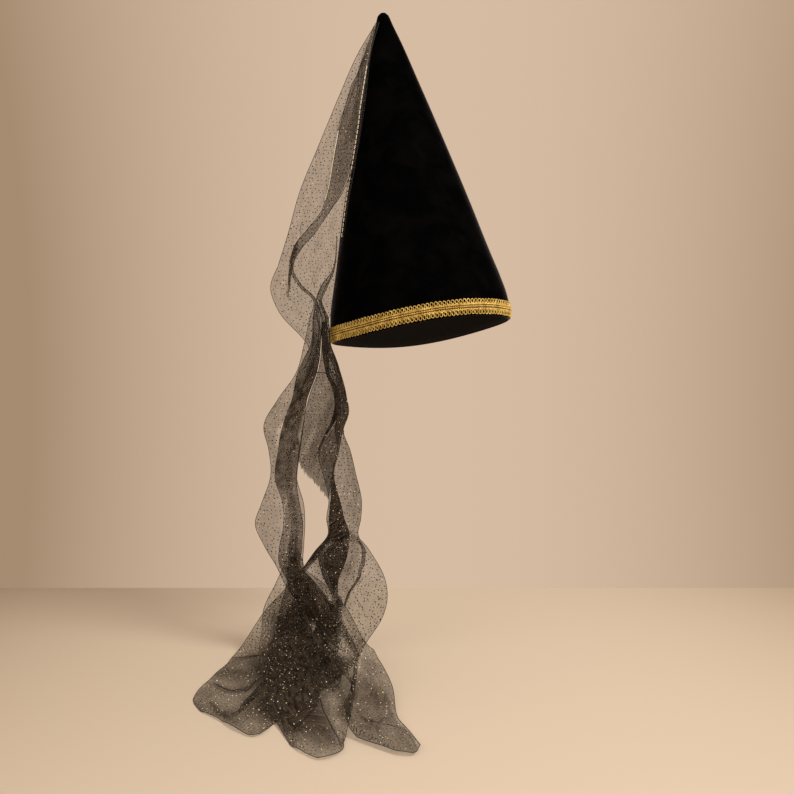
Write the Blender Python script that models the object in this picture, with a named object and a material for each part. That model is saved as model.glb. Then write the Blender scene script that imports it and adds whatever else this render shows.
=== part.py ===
"""Hennin: a tall black velvet cone with a gold gimp rim and a long dotted tulle veil.

Lengths are millimetres until the last step. The origin is the middle of the rim's
opening, +X is the front of the hat, +Y the wearer's left, +Z up.
"""
import bpy
import numpy as np

MM = 0.001

# Crown
TILT = np.radians(7.2)
TIP_HEIGHT = 363.0
CROWN_WALL = 2.0
CROWN_AROUND = 64
# distance below the tip, half width front to back, half width side to side
CROWN_PROFILE = (
    (0.0, 0.0, 0.0),
    (1.2, 4.1, 4.1),
    (4.2, 6.5, 6.5),
    (30.0, 14.4, 14.2),
    (90.0, 31.8, 30.6),
    (160.0, 52.2, 48.7),
    (230.0, 72.9, 66.0),
    (290.0, 90.4, 79.7),
    (318.0, 97.8, 85.1),
    (336.0, 100.6, 86.8),
    (350.0, 100.8, 86.4),
    (363.0, 99.6, 84.9),
)
# the rim's wave around the head: height of each harmonic of the angle from the front
RIM_WAVE = (-0.76, 1.52, 1.52, -1.42)

# Braid
BRAID_GAP = 0.35
BRAID_AROUND = CROWN_AROUND
# height above the rim, distance out from the crown
BRAID_PROFILE = (
    (-0.4, 0.0),
    (-0.4, 1.2),
    (1.6, 2.1),
    (5.4, 2.1),
    (6.9, 1.3),
    (8.6, 1.8),
    (10.3, 1.3),
    (12.0, 2.0),
    (15.4, 2.0),
    (17.0, 1.1),
    (17.0, 0.0),
    (13.0, 0.0),
)

# Veil
VEIL_WALL = 1.0
VEIL_LOWEST = -355.4
VEIL_TURN = np.radians(24.5)
ACROSS_PER_FOLD = 3
# Each row is one section of a length of veil, from the top down. Its places run
# across the cloth from edge to edge, through the folds: (left to right, depth, up).
SAIL = (
    ((-48, 9, 346), (-47, 8, 346), (-46, 8, 346), (-45, 7, 345), (-45, 7, 345)),
    ((-69, 9, 310), (-66, 8, 310), (-63, 6, 309), (-61, 5, 309), (-57, 3, 308)),
    ((-89, 9, 265), (-82, 9, 265), (-75, 6, 264), (-68, 1, 262), (-61, -5, 260)),
    ((-113, 9, 207), (-102, 10, 207), (-91, 6, 206), (-79, -3, 203), (-68, -14, 200)),
    ((-133, 9, 158), (-119, 11, 159), (-104, 6, 157), (-90, -5, 155), (-75, -18, 151)),
    ((-146, 8, 111), (-132, 12, 112), (-117, 6, 111), (-101, -6, 108), (-83, -20, 106)),
    ((-156, 7, 78), (-142, 12, 78), (-126, 6, 78), (-107, -6, 76), (-89, -21, 73)),
    ((-165, 6, 46), (-147, 12, 49), (-129, 7, 54), (-111, -5, 53), (-93, -20, 51)),
    ((-155, 5, 22), (-141, 10, 34), (-127, 6, 40), (-113, -2, 39), (-98, -14, 37)),
    ((-131, 3, -4), (-126, 7, 12), (-120, 4, 21), (-113, 1, 23), (-102, -2, 22)),
    ((-123, 6, -21), (-111, 9, -21), (-120, 4, -21), (-110, 1, -21), (-116, -1, -22)),
    ((-133, 10, -63), (-120, 12, -63), (-132, 8, -63), (-120, 5, -63), (-126, 4, -63)),
    ((-147, 11, -101), (-129, 13, -101), (-145, 9, -101), (-129, 6, -101), (-136, 5, -101)),
    ((-156, 11, -132), (-134, 14, -132), (-154, 10, -132), (-134, 7, -132), (-144, 5, -132)),
    ((-156, 11, -169), (-136, 14, -169), (-154, 10, -169), (-135, 7, -169), (-146, 5, -168)),
    ((-151, 11, -214), (-129, 14, -214), (-148, 9, -213), (-129, 6, -213), (-140, 4, -213)),
    ((-160, 10, -252), (-129, 13, -253), (-151, 9, -252), (-129, 6, -252), (-141, 4, -251)),
    ((-168, 10, -280), (-125, 13, -281), (-151, 9, -280), (-119, 5, -279), (-132, 3, -279)),
    ((-173, 10, -305), (-121, 13, -306), (-155, 9, -305), (-113, 4, -303), (-126, 2, -303)),
    ((-175, 6, -329), (-120, 9, -332), (-160, 5, -333), (-110, 0, -332), (-107, -4, -333)),
    ((-172, -30.5, -342), (-115, -40, -341), (-161, -41, -345), (-107, -56, -340), (-92, -54, -343)),
    ((-157, -99, -344), (-107, -96, -343), (-146, -121, -344), (-102, -116, -344), (-71, -129, -347)),
    ((-146, -154, -347), (-96, -167, -344), (-131, -170, -348), (-92, -171, -346), (-68, -159, -354)),
    ((-129, -192, -352), (-106, -214, -348), (-113, -215, -351), (-82, -208, -349), (-67, -190, -354)),
    ((-111, -230, -354), (-94, -249, -353), (-81, -255, -352), (-71, -238, -352), (-67, -209, -355)),
)
LEFT = (
    ((-51, 2, 338), (-49, 1, 338), (-50, 0, 337), (-49, -1, 337)),
    ((-68, 1, 300), (-63, -1, 300), (-67, -3, 299), (-61, -5, 298)),
    ((-84, 0, 250), (-70, -4, 249), (-81, -6, 248), (-69, -10, 247)),
    ((-94, 1, 201), (-74, -11, 198), (-92, -8, 198), (-72, -16, 196)),
    ((-101, -2, 162), (-86, -13, 159), (-99, -9, 160), (-83, -18, 158)),
    ((-108, 0, 135), (-97, -9, 133), (-106, -6, 132), (-97, -13, 132)),
    ((-124, 2, 114), (-117, -2, 107), (-123, -6, 112), (-116, -9, 106)),
    ((-140, 2, 94), (-132, -2, 88), (-139, -6, 93), (-132, -9, 86)),
    ((-145, 0, 71), (-138, -4, 70), (-143, -8, 68), (-137, -11, 69)),
    ((-133, -6, 48), (-129, -9, 53), (-132, -12, 47), (-127, -15, 51)),
    ((-118, -8, 33), (-112, -11, 36), (-116, -14, 32), (-111, -17, 35)),
    ((-124, -6, 13), (-109, -11, 13), (-117, -14, 12), (-107, -17, 12)),
    ((-125, -6, -14), (-108, -11, -14), (-121, -14, -15), (-108, -17, -15)),
    ((-135, -5, -43), (-112, -10, -43), (-132, -13, -43), (-112, -16, -43)),
    ((-156, -4, -74), (-123, -10, -74), (-139, -13, -74), (-123, -16, -74)),
    ((-171, -3, -101), (-127, -9, -100), (-148, -12, -100), (-126, -15, -100)),
    ((-166, -3, -129), (-131, -9, -129), (-154, -12, -129), (-130, -15, -128)),
    ((-164, -3, -158), (-135, -9, -157), (-158, -12, -157), (-134, -15, -157)),
    ((-174, -3, -189), (-131, -9, -189), (-149, -12, -188), (-126, -15, -188)),
    ((-181, -3, -210), (-128, -9, -209), (-148, -12, -209), (-125, -15, -208)),
    ((-171, -3, -234), (-129, -9, -233), (-153, -12, -233), (-126, -15, -232)),
    ((-159, -4, -253), (-131, -9, -253), (-153, -12, -252), (-126, -16, -254)),
    ((-149, -5, -274), (-113, -9, -277), (-141, -13, -274), (-107, -17, -270)),
    ((-133, -7, -298), (-93, -10, -305), (-122, -14, -297), (-82, -19, -295)),
    ((-118, -10, -329), (-74, -14, -334), (-102, -18, -329), (-64, -22, -327)),
    ((-90, -88, -332), (-56, -97, -335), (-75, -106, -328), (-39, -75, -333)),
    ((-68, -135, -341), (-41, -134, -347), (-58, -137, -342), (-28, -115, -347)),
    ((-69, -179, -349), (-42, -178, -352), (-52, -182, -347), (-22, -160, -353)),
    ((-64, -216, -351), (-47, -225, -352), (-36, -223, -350), (-16, -204, -354)),
    ((-57, -224, -354), (-41, -238, -354), (-24, -250, -353), (-7, -235, -354)),
)
RIGHT = (
    ((-91, -23, 102), (-88, -25, 101), (-90, -27, 101), (-87, -29, 100), (-89, -31, 100)),
    ((-96, -24, 63), (-92, -26, 63), (-95, -28, 62), (-92, -30, 62), (-93, -32, 62)),
    ((-106, -22, 49), (-100, -24, 46), (-105, -26, 48), (-100, -28, 45), (-102, -30, 45)),
    ((-112, -18.5, 35), (-106, -20.5, 32), (-111, -22.5, 33), (-106, -24.5, 32), (-107, -26.5, 32)),
    ((-106, -18.5, 14), (-99, -20.5, 14), (-105, -22.5, 14), (-99, -24.5, 14), (-102, -26.5, 13)),
    ((-103, -20, -15), (-96, -22, -15), (-102, -24, -15), (-96, -26, -15), (-99, -28, -16)),
    ((-99, -17, -38), (-89, -20, -38), (-98, -22, -38), (-88, -24, -38), (-93, -26, -38)),
    ((-90, -16, -67), (-81, -19, -67), (-89, -21, -67), (-80, -23, -67), (-84, -25, -67)),
    ((-89, -15, -88), (-77, -18, -88), (-88, -20, -88), (-78, -22, -88), (-83, -24, -88)),
    ((-94, -13, -105), (-83, -16, -105), (-92, -18, -104), (-83, -20, -104), (-85, -22, -104)),
    ((-110, -11, -129), (-86, -13, -128), (-92, -16, -128), (-80, -17, -128), (-76, -18, -128)),
    ((-106, -7, -155), (-91, -8, -155), (-95, -12, -155), (-76, -12, -155), (-70, -12, -155)),
    ((-100, -2, -184), (-88, -3, -184), (-95, -7, -184), (-72, -7, -184), (-64, -7, -184)),
    ((-103, 3, -206), (-83, 1, -205), (-100, -3, -205), (-75, -3, -205), (-65, -3, -205)),
    ((-102, 8, -224), (-81, 6, -224), (-99, 2, -223), (-74, 1, -223), (-68, 0, -223)),
    ((-116, 13, -242), (-84, 11, -249), (-97, 7, -243), (-66, 6, -242), (-57, 5, -239)),
    ((-131, 17, -263), (-76, 15, -276), (-100, 11, -268), (-62, 9, -268), (-41, 9, -267)),
    ((-152, 20, -288), (-84, 22, -300), (-93, 17, -298), (-74, 14, -289), (-36, 12, -291)),
    ((-174, 20, -312), (-94, 25, -331), (-112, 20, -324), (-78, 17, -319), (-41, 13, -316)),
    ((-195, 17, -344), (-109, 14, -354), (-133, 10, -348), (-83, 8, -352), (-57, 10, -341)),
    ((-205, -21, -354), (-138, -51, -352), (-156, -45, -350), (-101, -76, -350), (-71, -37, -353)),
    ((-214, -87, -354), (-155, -112, -353), (-168, -103, -351), (-126, -145, -352), (-102, -120, -354)),
    ((-215, -136, -355), (-173, -167, -353), (-182, -150, -352), (-145, -187, -354), (-126, -168, -354)),
    ((-204, -158, -355), (-183, -178, -354), (-160, -204, -353), (-143, -214, -354), (-132, -187, -355)),
)
MIDDLE = (
    ((-107, -15, 10), (-102, -13, 10), (-107, -11, 11), (-103, -9, 11)),
    ((-107, -13, -16), (-100, -11, -16), (-107, -9, -15), (-101, -7, -15)),
    ((-110, -10, -44), (-97, -8, -44), (-107, -6, -44), (-98, -4, -44)),
    ((-117, -7, -66), (-90, -7, -66), (-101, -4, -66), (-89, -2, -66)),
    ((-126, -5, -90), (-89, -6, -90), (-103, -3, -90), (-87, 0, -90)),
    ((-130, -4, -115), (-94, -5, -115), (-114, -2, -115), (-89, 0, -115)),
    ((-133, -3, -131), (-107, -4, -142), (-123, -1, -136), (-95, 1, -149)),
    ((-134, -2, -142), (-116, -2, -164), (-125, 0, -156), (-101, 2, -184)),
)
# name, sections, rows along its length
VEIL_LENGTHS = (
    ("veil_sail", SAIL, 46),
    ("veil_streamer_left", LEFT, 56),
    ("veil_streamer_right", RIGHT, 46),
    ("veil_short_end", MIDDLE, 15),
)

# colour, roughness, metallic
LOOKS = {
    "velvet": ((0.010, 0.009, 0.010, 1.0), 0.85, 0.0),
    "gold": ((0.62, 0.38, 0.07, 1.0), 0.42, 0.8),
    "tulle": ((0.055, 0.045, 0.040, 1.0), 0.75, 0.0),
}


def clear_scene():
    for old in list(bpy.data.objects):
        bpy.data.objects.remove(old, do_unlink=True)


def material(name, look):
    colour, roughness, metallic = LOOKS[look]
    made = bpy.data.materials.new(name)
    made.use_nodes = True
    shader = made.node_tree.nodes["Principled BSDF"]
    shader.inputs["Base Color"].default_value = colour
    shader.inputs["Roughness"].default_value = roughness
    shader.inputs["Metallic"].default_value = metallic
    made.diffuse_color = colour
    return made


def add_object(name, points, faces, look):
    mesh = bpy.data.meshes.new(name)
    mesh.from_pydata([tuple(p * MM) for p in points], [], faces)
    mesh.materials.append(material(name + "_look", look))
    mesh.update()
    made = bpy.data.objects.new(name, mesh)
    bpy.context.scene.collection.objects.link(made)
    return made


def smooth_through(keys, rows, at):
    """Rows of numbers given at keys, read at other places along a smooth curve."""
    keys = np.asarray(keys, float)
    rows = np.asarray(rows, float)
    shape = (-1,) + (1,) * (rows.ndim - 1)
    step = np.diff(keys).reshape(shape)
    slope = np.diff(rows, axis=0) / step
    middle = (slope[:-1] * step[1:] + slope[1:] * step[:-1]) / (step[:-1] + step[1:])
    tangent = np.concatenate([slope[:1], middle, slope[-1:]])
    i = np.clip(np.searchsorted(keys, at, side="right") - 1, 0, len(keys) - 2)
    h = (keys[i + 1] - keys[i]).reshape(shape)
    u = ((at - keys[i]) / (keys[i + 1] - keys[i])).reshape(shape)
    start, end = rows[i], rows[i + 1]
    out, into = tangent[i] * h, tangent[i + 1] * h
    return (
        start * (2 * u**3 - 3 * u**2 + 1)
        + out * (u**3 - 2 * u**2 + u)
        + end * (3 * u**2 - 2 * u**3)
        + into * (u**3 - u**2)
    )


# Crown and braid

def rim_lift(angle):
    return sum(lift * np.cos(k * angle) for k, lift in enumerate(RIM_WAVE))


def crown_half_widths(below_tip):
    table = np.array(CROWN_PROFILE)
    front = np.interp(below_tip, table[:, 0], table[:, 1])
    side = np.interp(below_tip, table[:, 0], table[:, 2])
    return front, side


def on_crown(angle, height, out):
    """A place over the rim's plane at this height, this far out from the velvet."""
    lift = rim_lift(angle) * np.clip(1.0 - height / TIP_HEIGHT, 0.0, 1.0)
    front, side = crown_half_widths(TIP_HEIGHT - height)
    x = (front + out) * np.cos(angle)
    y = (side + out) * np.sin(angle)
    z = height + lift
    return np.array([
        x * np.cos(TILT) - z * np.sin(TILT),
        y,
        x * np.sin(TILT) + z * np.cos(TILT),
    ])


def crown():
    angles = np.linspace(0.0, 2 * np.pi, CROWN_AROUND, endpoint=False)
    outer = [TIP_HEIGHT - row[0] for row in CROWN_PROFILE[:0:-1]]
    inner = [h for h in outer[::-1] if TIP_HEIGHT - h > 20.0]
    rings = [(h, -CROWN_WALL) for h in inner] + [(h, 0.0) for h in outer]
    points = []
    for height, out in rings:
        points += [on_crown(a, height, out) for a in angles]
    top_in = len(points)
    points.append(on_crown(0.0, TIP_HEIGHT - 14.0, -on_axis(TIP_HEIGHT - 14.0)))
    top_out = len(points)
    points.append(on_crown(0.0, TIP_HEIGHT, 0.0))
    faces = []
    n = CROWN_AROUND
    for ring in range(len(rings) - 1):
        for k in range(n):
            a = ring * n + k
            b = ring * n + (k + 1) % n
            faces.append((a, b, b + n, a + n))
    last = (len(rings) - 1) * n
    for k in range(n):
        faces.append(((k + 1) % n, k, top_in))
        faces.append((last + k, last + (k + 1) % n, top_out))
    return add_object("crown", points, faces, "velvet")


def on_axis(height):
    return crown_half_widths(TIP_HEIGHT - height)[0]


def rim_braid():
    angles = np.linspace(0.0, 2 * np.pi, BRAID_AROUND, endpoint=False)
    n = len(angles)
    points = []
    for height, out in BRAID_PROFILE:
        reach = BRAID_GAP + out
        points += [on_crown(a, height, reach) for a in angles]
    faces = []
    count = len(BRAID_PROFILE)
    for ring in range(count):
        above = (ring + 1) % count
        for k in range(n):
            nxt = (k + 1) % n
            faces.append((ring * n + k, ring * n + nxt, above * n + nxt, above * n + k))
    return add_object("rim_braid", points, faces, "gold")


# Veil

def veil_surface(sections, rows):
    """The middle of the cloth as a grid of places, rows down by places across."""
    sections = np.array(sections, float)
    middles = sections.mean(axis=1)
    steps = np.linalg.norm(np.diff(middles, axis=0), axis=1)
    down = np.concatenate([[0.0], np.cumsum(steps)])
    grid = smooth_through(down, sections, np.linspace(0.0, down[-1], rows))
    folds = sections.shape[1] - 1
    at = np.linspace(0.0, folds, folds * ACROSS_PER_FOLD + 1)
    grid = smooth_through(np.arange(folds + 1), grid.transpose(1, 0, 2), at)
    grid[..., 2] = np.maximum(grid[..., 2], VEIL_LOWEST)
    return grid.transpose(1, 0, 2)


def veil_length(name, sections, rows):
    grid = veil_surface(sections, rows)
    along = np.gradient(grid, axis=0)
    across = np.gradient(grid, axis=1)
    normal = np.cross(across, along)
    normal /= np.linalg.norm(normal, axis=2, keepdims=True)
    grid = np.stack([grid - normal * VEIL_WALL / 2, grid + normal * VEIL_WALL / 2])
    cosine, sine = np.cos(VEIL_TURN), np.sin(VEIL_TURN)
    x = grid[..., 0] * cosine - grid[..., 1] * sine
    y = grid[..., 0] * sine + grid[..., 1] * cosine
    points = np.stack([x, y, grid[..., 2]], axis=-1).reshape(-1, 3)
    _, n, m, _ = grid.shape
    faces = []
    for i in range(n - 1):
        for j in range(m - 1):
            a = i * m + j
            faces.append((a, a + m, a + m + 1, a + 1))
            b = a + n * m
            faces.append((b, b + 1, b + m + 1, b + m))
    border = list(range(m))
    border += [i * m + m - 1 for i in range(1, n)]
    border += [(n - 1) * m + j for j in range(m - 2, -1, -1)]
    border += [i * m for i in range(n - 2, 0, -1)]
    for k, a in enumerate(border):
        b = border[(k + 1) % len(border)]
        faces.append((a, b, b + n * m, a + n * m))
    return add_object(name, points, faces, "tulle")


clear_scene()
crown()
rim_braid()
for veil_name, veil_sections, veil_rows in VEIL_LENGTHS:
    veil_length(veil_name, veil_sections, veil_rows)
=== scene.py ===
"""Looks of the hennin: black velvet cone, gold gimp rim and dotted tulle veil."""

import bpy
import numpy as np
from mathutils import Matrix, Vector, noise


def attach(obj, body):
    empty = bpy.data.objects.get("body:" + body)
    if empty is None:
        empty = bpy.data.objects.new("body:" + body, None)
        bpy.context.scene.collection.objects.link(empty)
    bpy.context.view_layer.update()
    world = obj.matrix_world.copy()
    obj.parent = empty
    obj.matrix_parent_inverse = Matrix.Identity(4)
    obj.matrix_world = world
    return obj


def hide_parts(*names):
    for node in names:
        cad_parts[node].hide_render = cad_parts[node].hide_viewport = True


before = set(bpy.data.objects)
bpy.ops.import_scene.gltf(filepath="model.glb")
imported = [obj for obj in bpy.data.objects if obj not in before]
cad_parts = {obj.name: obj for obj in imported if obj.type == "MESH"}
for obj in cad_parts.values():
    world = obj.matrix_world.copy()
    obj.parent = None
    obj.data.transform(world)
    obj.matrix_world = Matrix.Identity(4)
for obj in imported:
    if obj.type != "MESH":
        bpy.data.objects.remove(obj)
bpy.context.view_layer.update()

MM = 0.001
rng = np.random.default_rng(7)

# Crown
TILT = np.radians(7.2)
TIP_HEIGHT = 363.0
CROWN_WALL = 2.0
CROWN_AROUND = 288
CROWN_DOWN = 150
PROFILE_STEPS = 900
# how the rings crowd: 1 is even, and less sets them closer at the rim
CROWN_CROWDING = 0.9
# how far below the tip the hollow is closed, and where its wall ends
ROOF_DEPTH = 12.0
INNER_DEPTH = 20.0
# the folded edge of the cloth: height from the rim, distance out
FOLDED_EDGE = ((-0.35, -0.25), (-0.5, -0.7), (-0.5, -1.3), (-0.35, -1.75))
# the velvet's untrue form: size, waves around, turn with each mm of height, and start
WOBBLES = ((0.25, 3, 0.021, 0.0), (0.18, 5, -0.034, 1.3))
# it dies out over this much below the tip, and there is none beside the braid
WOBBLE_FADE = 90.0
STILL_BELOW = 18.0
# distance below the tip, half width front to back, half width side to side
CROWN_PROFILE = (
    (0.0, 0.0, 0.0),
    (1.2, 4.1, 4.1),
    (4.2, 6.5, 6.5),
    (10.0, 8.3, 8.3),
    (18.0, 10.7, 10.6),
    (30.0, 14.8, 14.6),
    (90.0, 32.8, 31.6),
    (160.0, 53.0, 49.4),
    (230.0, 72.6, 65.8),
    (290.0, 88.0, 77.8),
    (318.0, 95.6, 83.3),
    (336.0, 99.6, 86.0),
    (350.0, 100.8, 86.4),
    (363.0, 99.6, 84.9),
)
# the rim's wave, up and down: height of each harmonic of the angle from the front
RIM_WAVE = (-0.76, 1.52, 1.52, -1.42)

# Braid
LOOPS_AROUND = 140
POINTS_PER_LOOP = 16
BEADS_AROUND = 252
POINTS_PER_BEAD = 6
# a row of loops: middle height, half its height, half a loop's width, distance out,
# cord radius, and which way up
LOOP_ROWS = (
    (13.6, 2.5, 2.35, 1.25, 0.50, 1.0),
    (3.5, 2.6, 2.35, 1.25, 0.50, -1.0),
)
# a zigzag thread over the tape: middle height, half its height, distance out, radius
LACINGS = (
    (11.3, 1.0, 1.25, 0.34),
    (5.7, 1.0, 1.25, 0.34),
)
# height, distance out, cord radius
STRAIGHT_CORDS = (
    (6.55, 1.40, 0.42),
    (8.5, 1.70, 0.62),
    (10.45, 1.40, 0.42),
)
# the tape's section: height, distance out
TAPE = ((3.2, 0.15), (3.2, 0.45), (8.4, 0.6), (13.8, 0.45), (13.8, 0.15), (8.4, 0.12))
TAPE_AROUND = 288

# Veil
VEIL_TURN = np.radians(24.5)
VEIL_LOWEST = -355.4
# Each row is one section of a length of veil, from the top down. Its places run
# across the cloth from edge to edge, through the folds: (left to right, depth, up).
SAIL = (
    ((-48, 9, 346), (-47, 8, 346), (-46, 8, 346), (-45, 7, 345), (-45, 7, 345)),
    ((-69, 9, 310), (-66, 8, 310), (-63, 6, 309), (-61, 5, 309), (-54.4, 3, 308)),
    ((-89, 9, 265), (-82, 9, 265), (-75, 6, 264), (-68, 1, 262), (-58.9, -5, 260)),
    ((-113, 9, 207), (-102, 10, 207), (-91, 6, 206), (-79, -3, 203), (-67, -14, 200)),
    ((-133, 9, 158), (-119, 11, 159), (-104, 6, 157), (-90, -5, 155), (-75, -18, 151)),
    ((-146, 8, 111), (-132, 12, 112), (-117, 6, 111), (-101, -6, 108), (-83, -20, 106)),
    ((-156, 7, 78), (-142, 12, 78), (-126, 6, 78), (-107, -6, 76), (-88, -21, 73)),
    ((-165, 6, 46), (-147, 12, 49), (-129, 7, 54), (-111, -5, 53), (-90.9, -20, 51)),
    ((-155, 5, 22), (-141, 10, 34), (-127, 6, 40), (-113, -2, 39), (-94.3, -14, 37)),
    ((-131, 3, -4), (-126, 7, 12), (-120, 4, 21), (-113, 1, 23), (-97.7, -2, 22.4)),
    ((-123, 6, -21), (-111, 9, -21), (-120, 4, -21), (-110, 1, -21), (-116, -1, -22)),
    ((-131, 10, -63), (-121.9, 12, -63), (-130.3, 8, -63), (-121.9, 5, -63), (-126.1, 4, -63)),
    ((-141.1, 11, -101), (-133.9, 13, -101), (-140.3, 9, -101), (-133.9, 6, -101), (-136.7, 5, -101)),
    ((-149, 11, -132), (-140.2, 14, -132), (-148.2, 10, -132), (-140.2, 7, -132), (-144.2, 5, -132)),
    ((-149.6, 11, -168.9), (-141.6, 14, -168.9), (-148.8, 10, -168.9), (-141.2, 7, -168.9),
     (-145.6, 5, -168.5)),
    ((-144, 11, -213.6), (-135.2, 14, -213.6), (-142.8, 9, -213.2), (-135.2, 6, -213.2),
     (-139.6, 4, -213.2)),
    ((-149.2, 10, -252), (-136.8, 13, -252.4), (-145.6, 9, -252), (-136.8, 6, -252),
     (-141.6, 4, -251.6)),
    ((-160.8, 10, -279.9), (-128.5, 13, -280.7), (-148, 9, -279.9), (-124, 5, -279.2),
     (-133.8, 3, -279.2)),
    ((-173, 10, -305), (-121, 13, -306), (-155, 9, -305), (-113, 4, -303), (-126, 2, -303)),
    ((-175, 6, -329), (-120, 9, -332), (-160, 5, -333), (-110, 0, -332), (-107, -4, -333)),
    ((-172, -30.5, -342), (-115, -40, -341), (-161, -41, -345), (-107, -56, -340),
     (-83.1, -54, -343)),
    ((-157, -99, -344), (-107, -96, -343), (-146, -121, -344), (-102, -116, -344),
     (-66.2, -129, -347)),
    ((-146, -154, -347), (-96, -167, -344), (-131, -170, -348), (-92, -171, -346),
     (-66.4, -159, -354)),
    ((-129, -192, -352), (-110.4, -209.3, -351), (-108.6, -210.4, -351), (-82, -208, -349),
     (-67.6, -199, -353.5)),
    ((-111.6, -231.9, -354), (-98.1, -247.6, -354.5), (-84, -257.9, -353.5), (-70.3, -246, -354),
     (-68.4, -226, -354.5)),
)
LEFT = (
    ((-51, 2, 338), (-49, 1, 338), (-50, 0, 337), (-49, -1, 337)),
    ((-63.2, 1, 300), (-58.4, -1, 300), (-62, -3, 299), (-56.4, -5, 298)),
    ((-81.9, 0, 250), (-64.7, -4, 249), (-79.3, -6, 248), (-62.4, -10, 247)),
    ((-94, 1, 201), (-71.4, -11, 198), (-92, -8, 198), (-68.7, -16, 196)),
    ((-101, -2, 162), (-82.2, -13, 159), (-99, -9, 160), (-79.7, -18, 158)),
    ((-108, 0, 135), (-97, -9, 133), (-106, -6, 132), (-97, -13, 132)),
    ((-124, 2, 114), (-117, -2, 107), (-123, -6, 112), (-116, -9, 106)),
    ((-139.2, 2, 93.2), (-132.8, -2, 88.5), (-138.3, -6, 92.5), (-132.8, -9, 86.8)),
    ((-143.4, 0, 70.4), (-139, -4, 69.8), (-142.1, -8, 68.6), (-138.4, -11, 69.2)),
    ((-131.6, -6, 48.9), (-129.6, -9, 51.4), (-131.1, -12, 48.4), (-128.6, -15, 50.4)),
    ((-116.1, -8, 33.5), (-113.1, -11, 35), (-115.1, -14, 33), (-112.6, -17, 34.5)),
    ((-121, -6, 13), (-109, -11, 13), (-116, -14, 12), (-107, -17, 12)),
    ((-127, -6, -14), (-108, -11, -14), (-119, -14, -15), (-108, -17, -15)),
    ((-135, -5, -43), (-112.3, -10, -43), (-132, -13, -43), (-111.7, -16, -43)),
    ((-156, -4, -74), (-123.4, -10, -74), (-139, -13, -74), (-122.7, -16, -74)),
    ((-171, -3, -101), (-127, -9, -100), (-148, -12, -100), (-126, -15, -100)),
    ((-166, -3, -129), (-131, -9, -129), (-154, -12, -129), (-130, -15, -128)),
    ((-164, -3, -158), (-135, -9, -157), (-158, -12, -157), (-134, -15, -157)),
    ((-174, -3, -189), (-131, -9, -189), (-149, -12, -188), (-126, -15, -188)),
    ((-181, -3, -210), (-128, -9, -209), (-148, -12, -209), (-125, -15, -208)),
    ((-171, -3, -234), (-129, -9, -233), (-153, -12, -233), (-126, -15, -232)),
    ((-159, -4, -253), (-131, -9, -253), (-153, -12, -252), (-126, -16, -254)),
    ((-149, -5, -274), (-113, -9, -277), (-141, -13, -274), (-107, -17, -270)),
    ((-133, -7, -298), (-93, -10, -305), (-122, -14, -297), (-82, -19, -295)),
    ((-118, -10, -329), (-74, -14, -334), (-102, -18, -329), (-64, -22, -327)),
    ((-90, -88, -332), (-64.5, -97, -335), (-66.9, -106, -328), (-44.4, -75, -333)),
    ((-68, -135, -341), (-64.7, -131, -347), (-66.2, -133, -342), (-30.5, -115, -347)),
    ((-69, -179, -349), (-66.2, -178, -352), (-66.8, -180, -347), (-24.8, -178.5, -353)),
    ((-66.1, -209, -347.4), (-51.6, -223.9, -347.1), (-30.1, -229, -352), (-13, -209.2, -354)),
    ((-58.5, -218.3, -354), (-30.8, -245.1, -351.6), (-12.5, -250.4, -352.3), (-6.3, -235.7, -353.2)),
)
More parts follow.
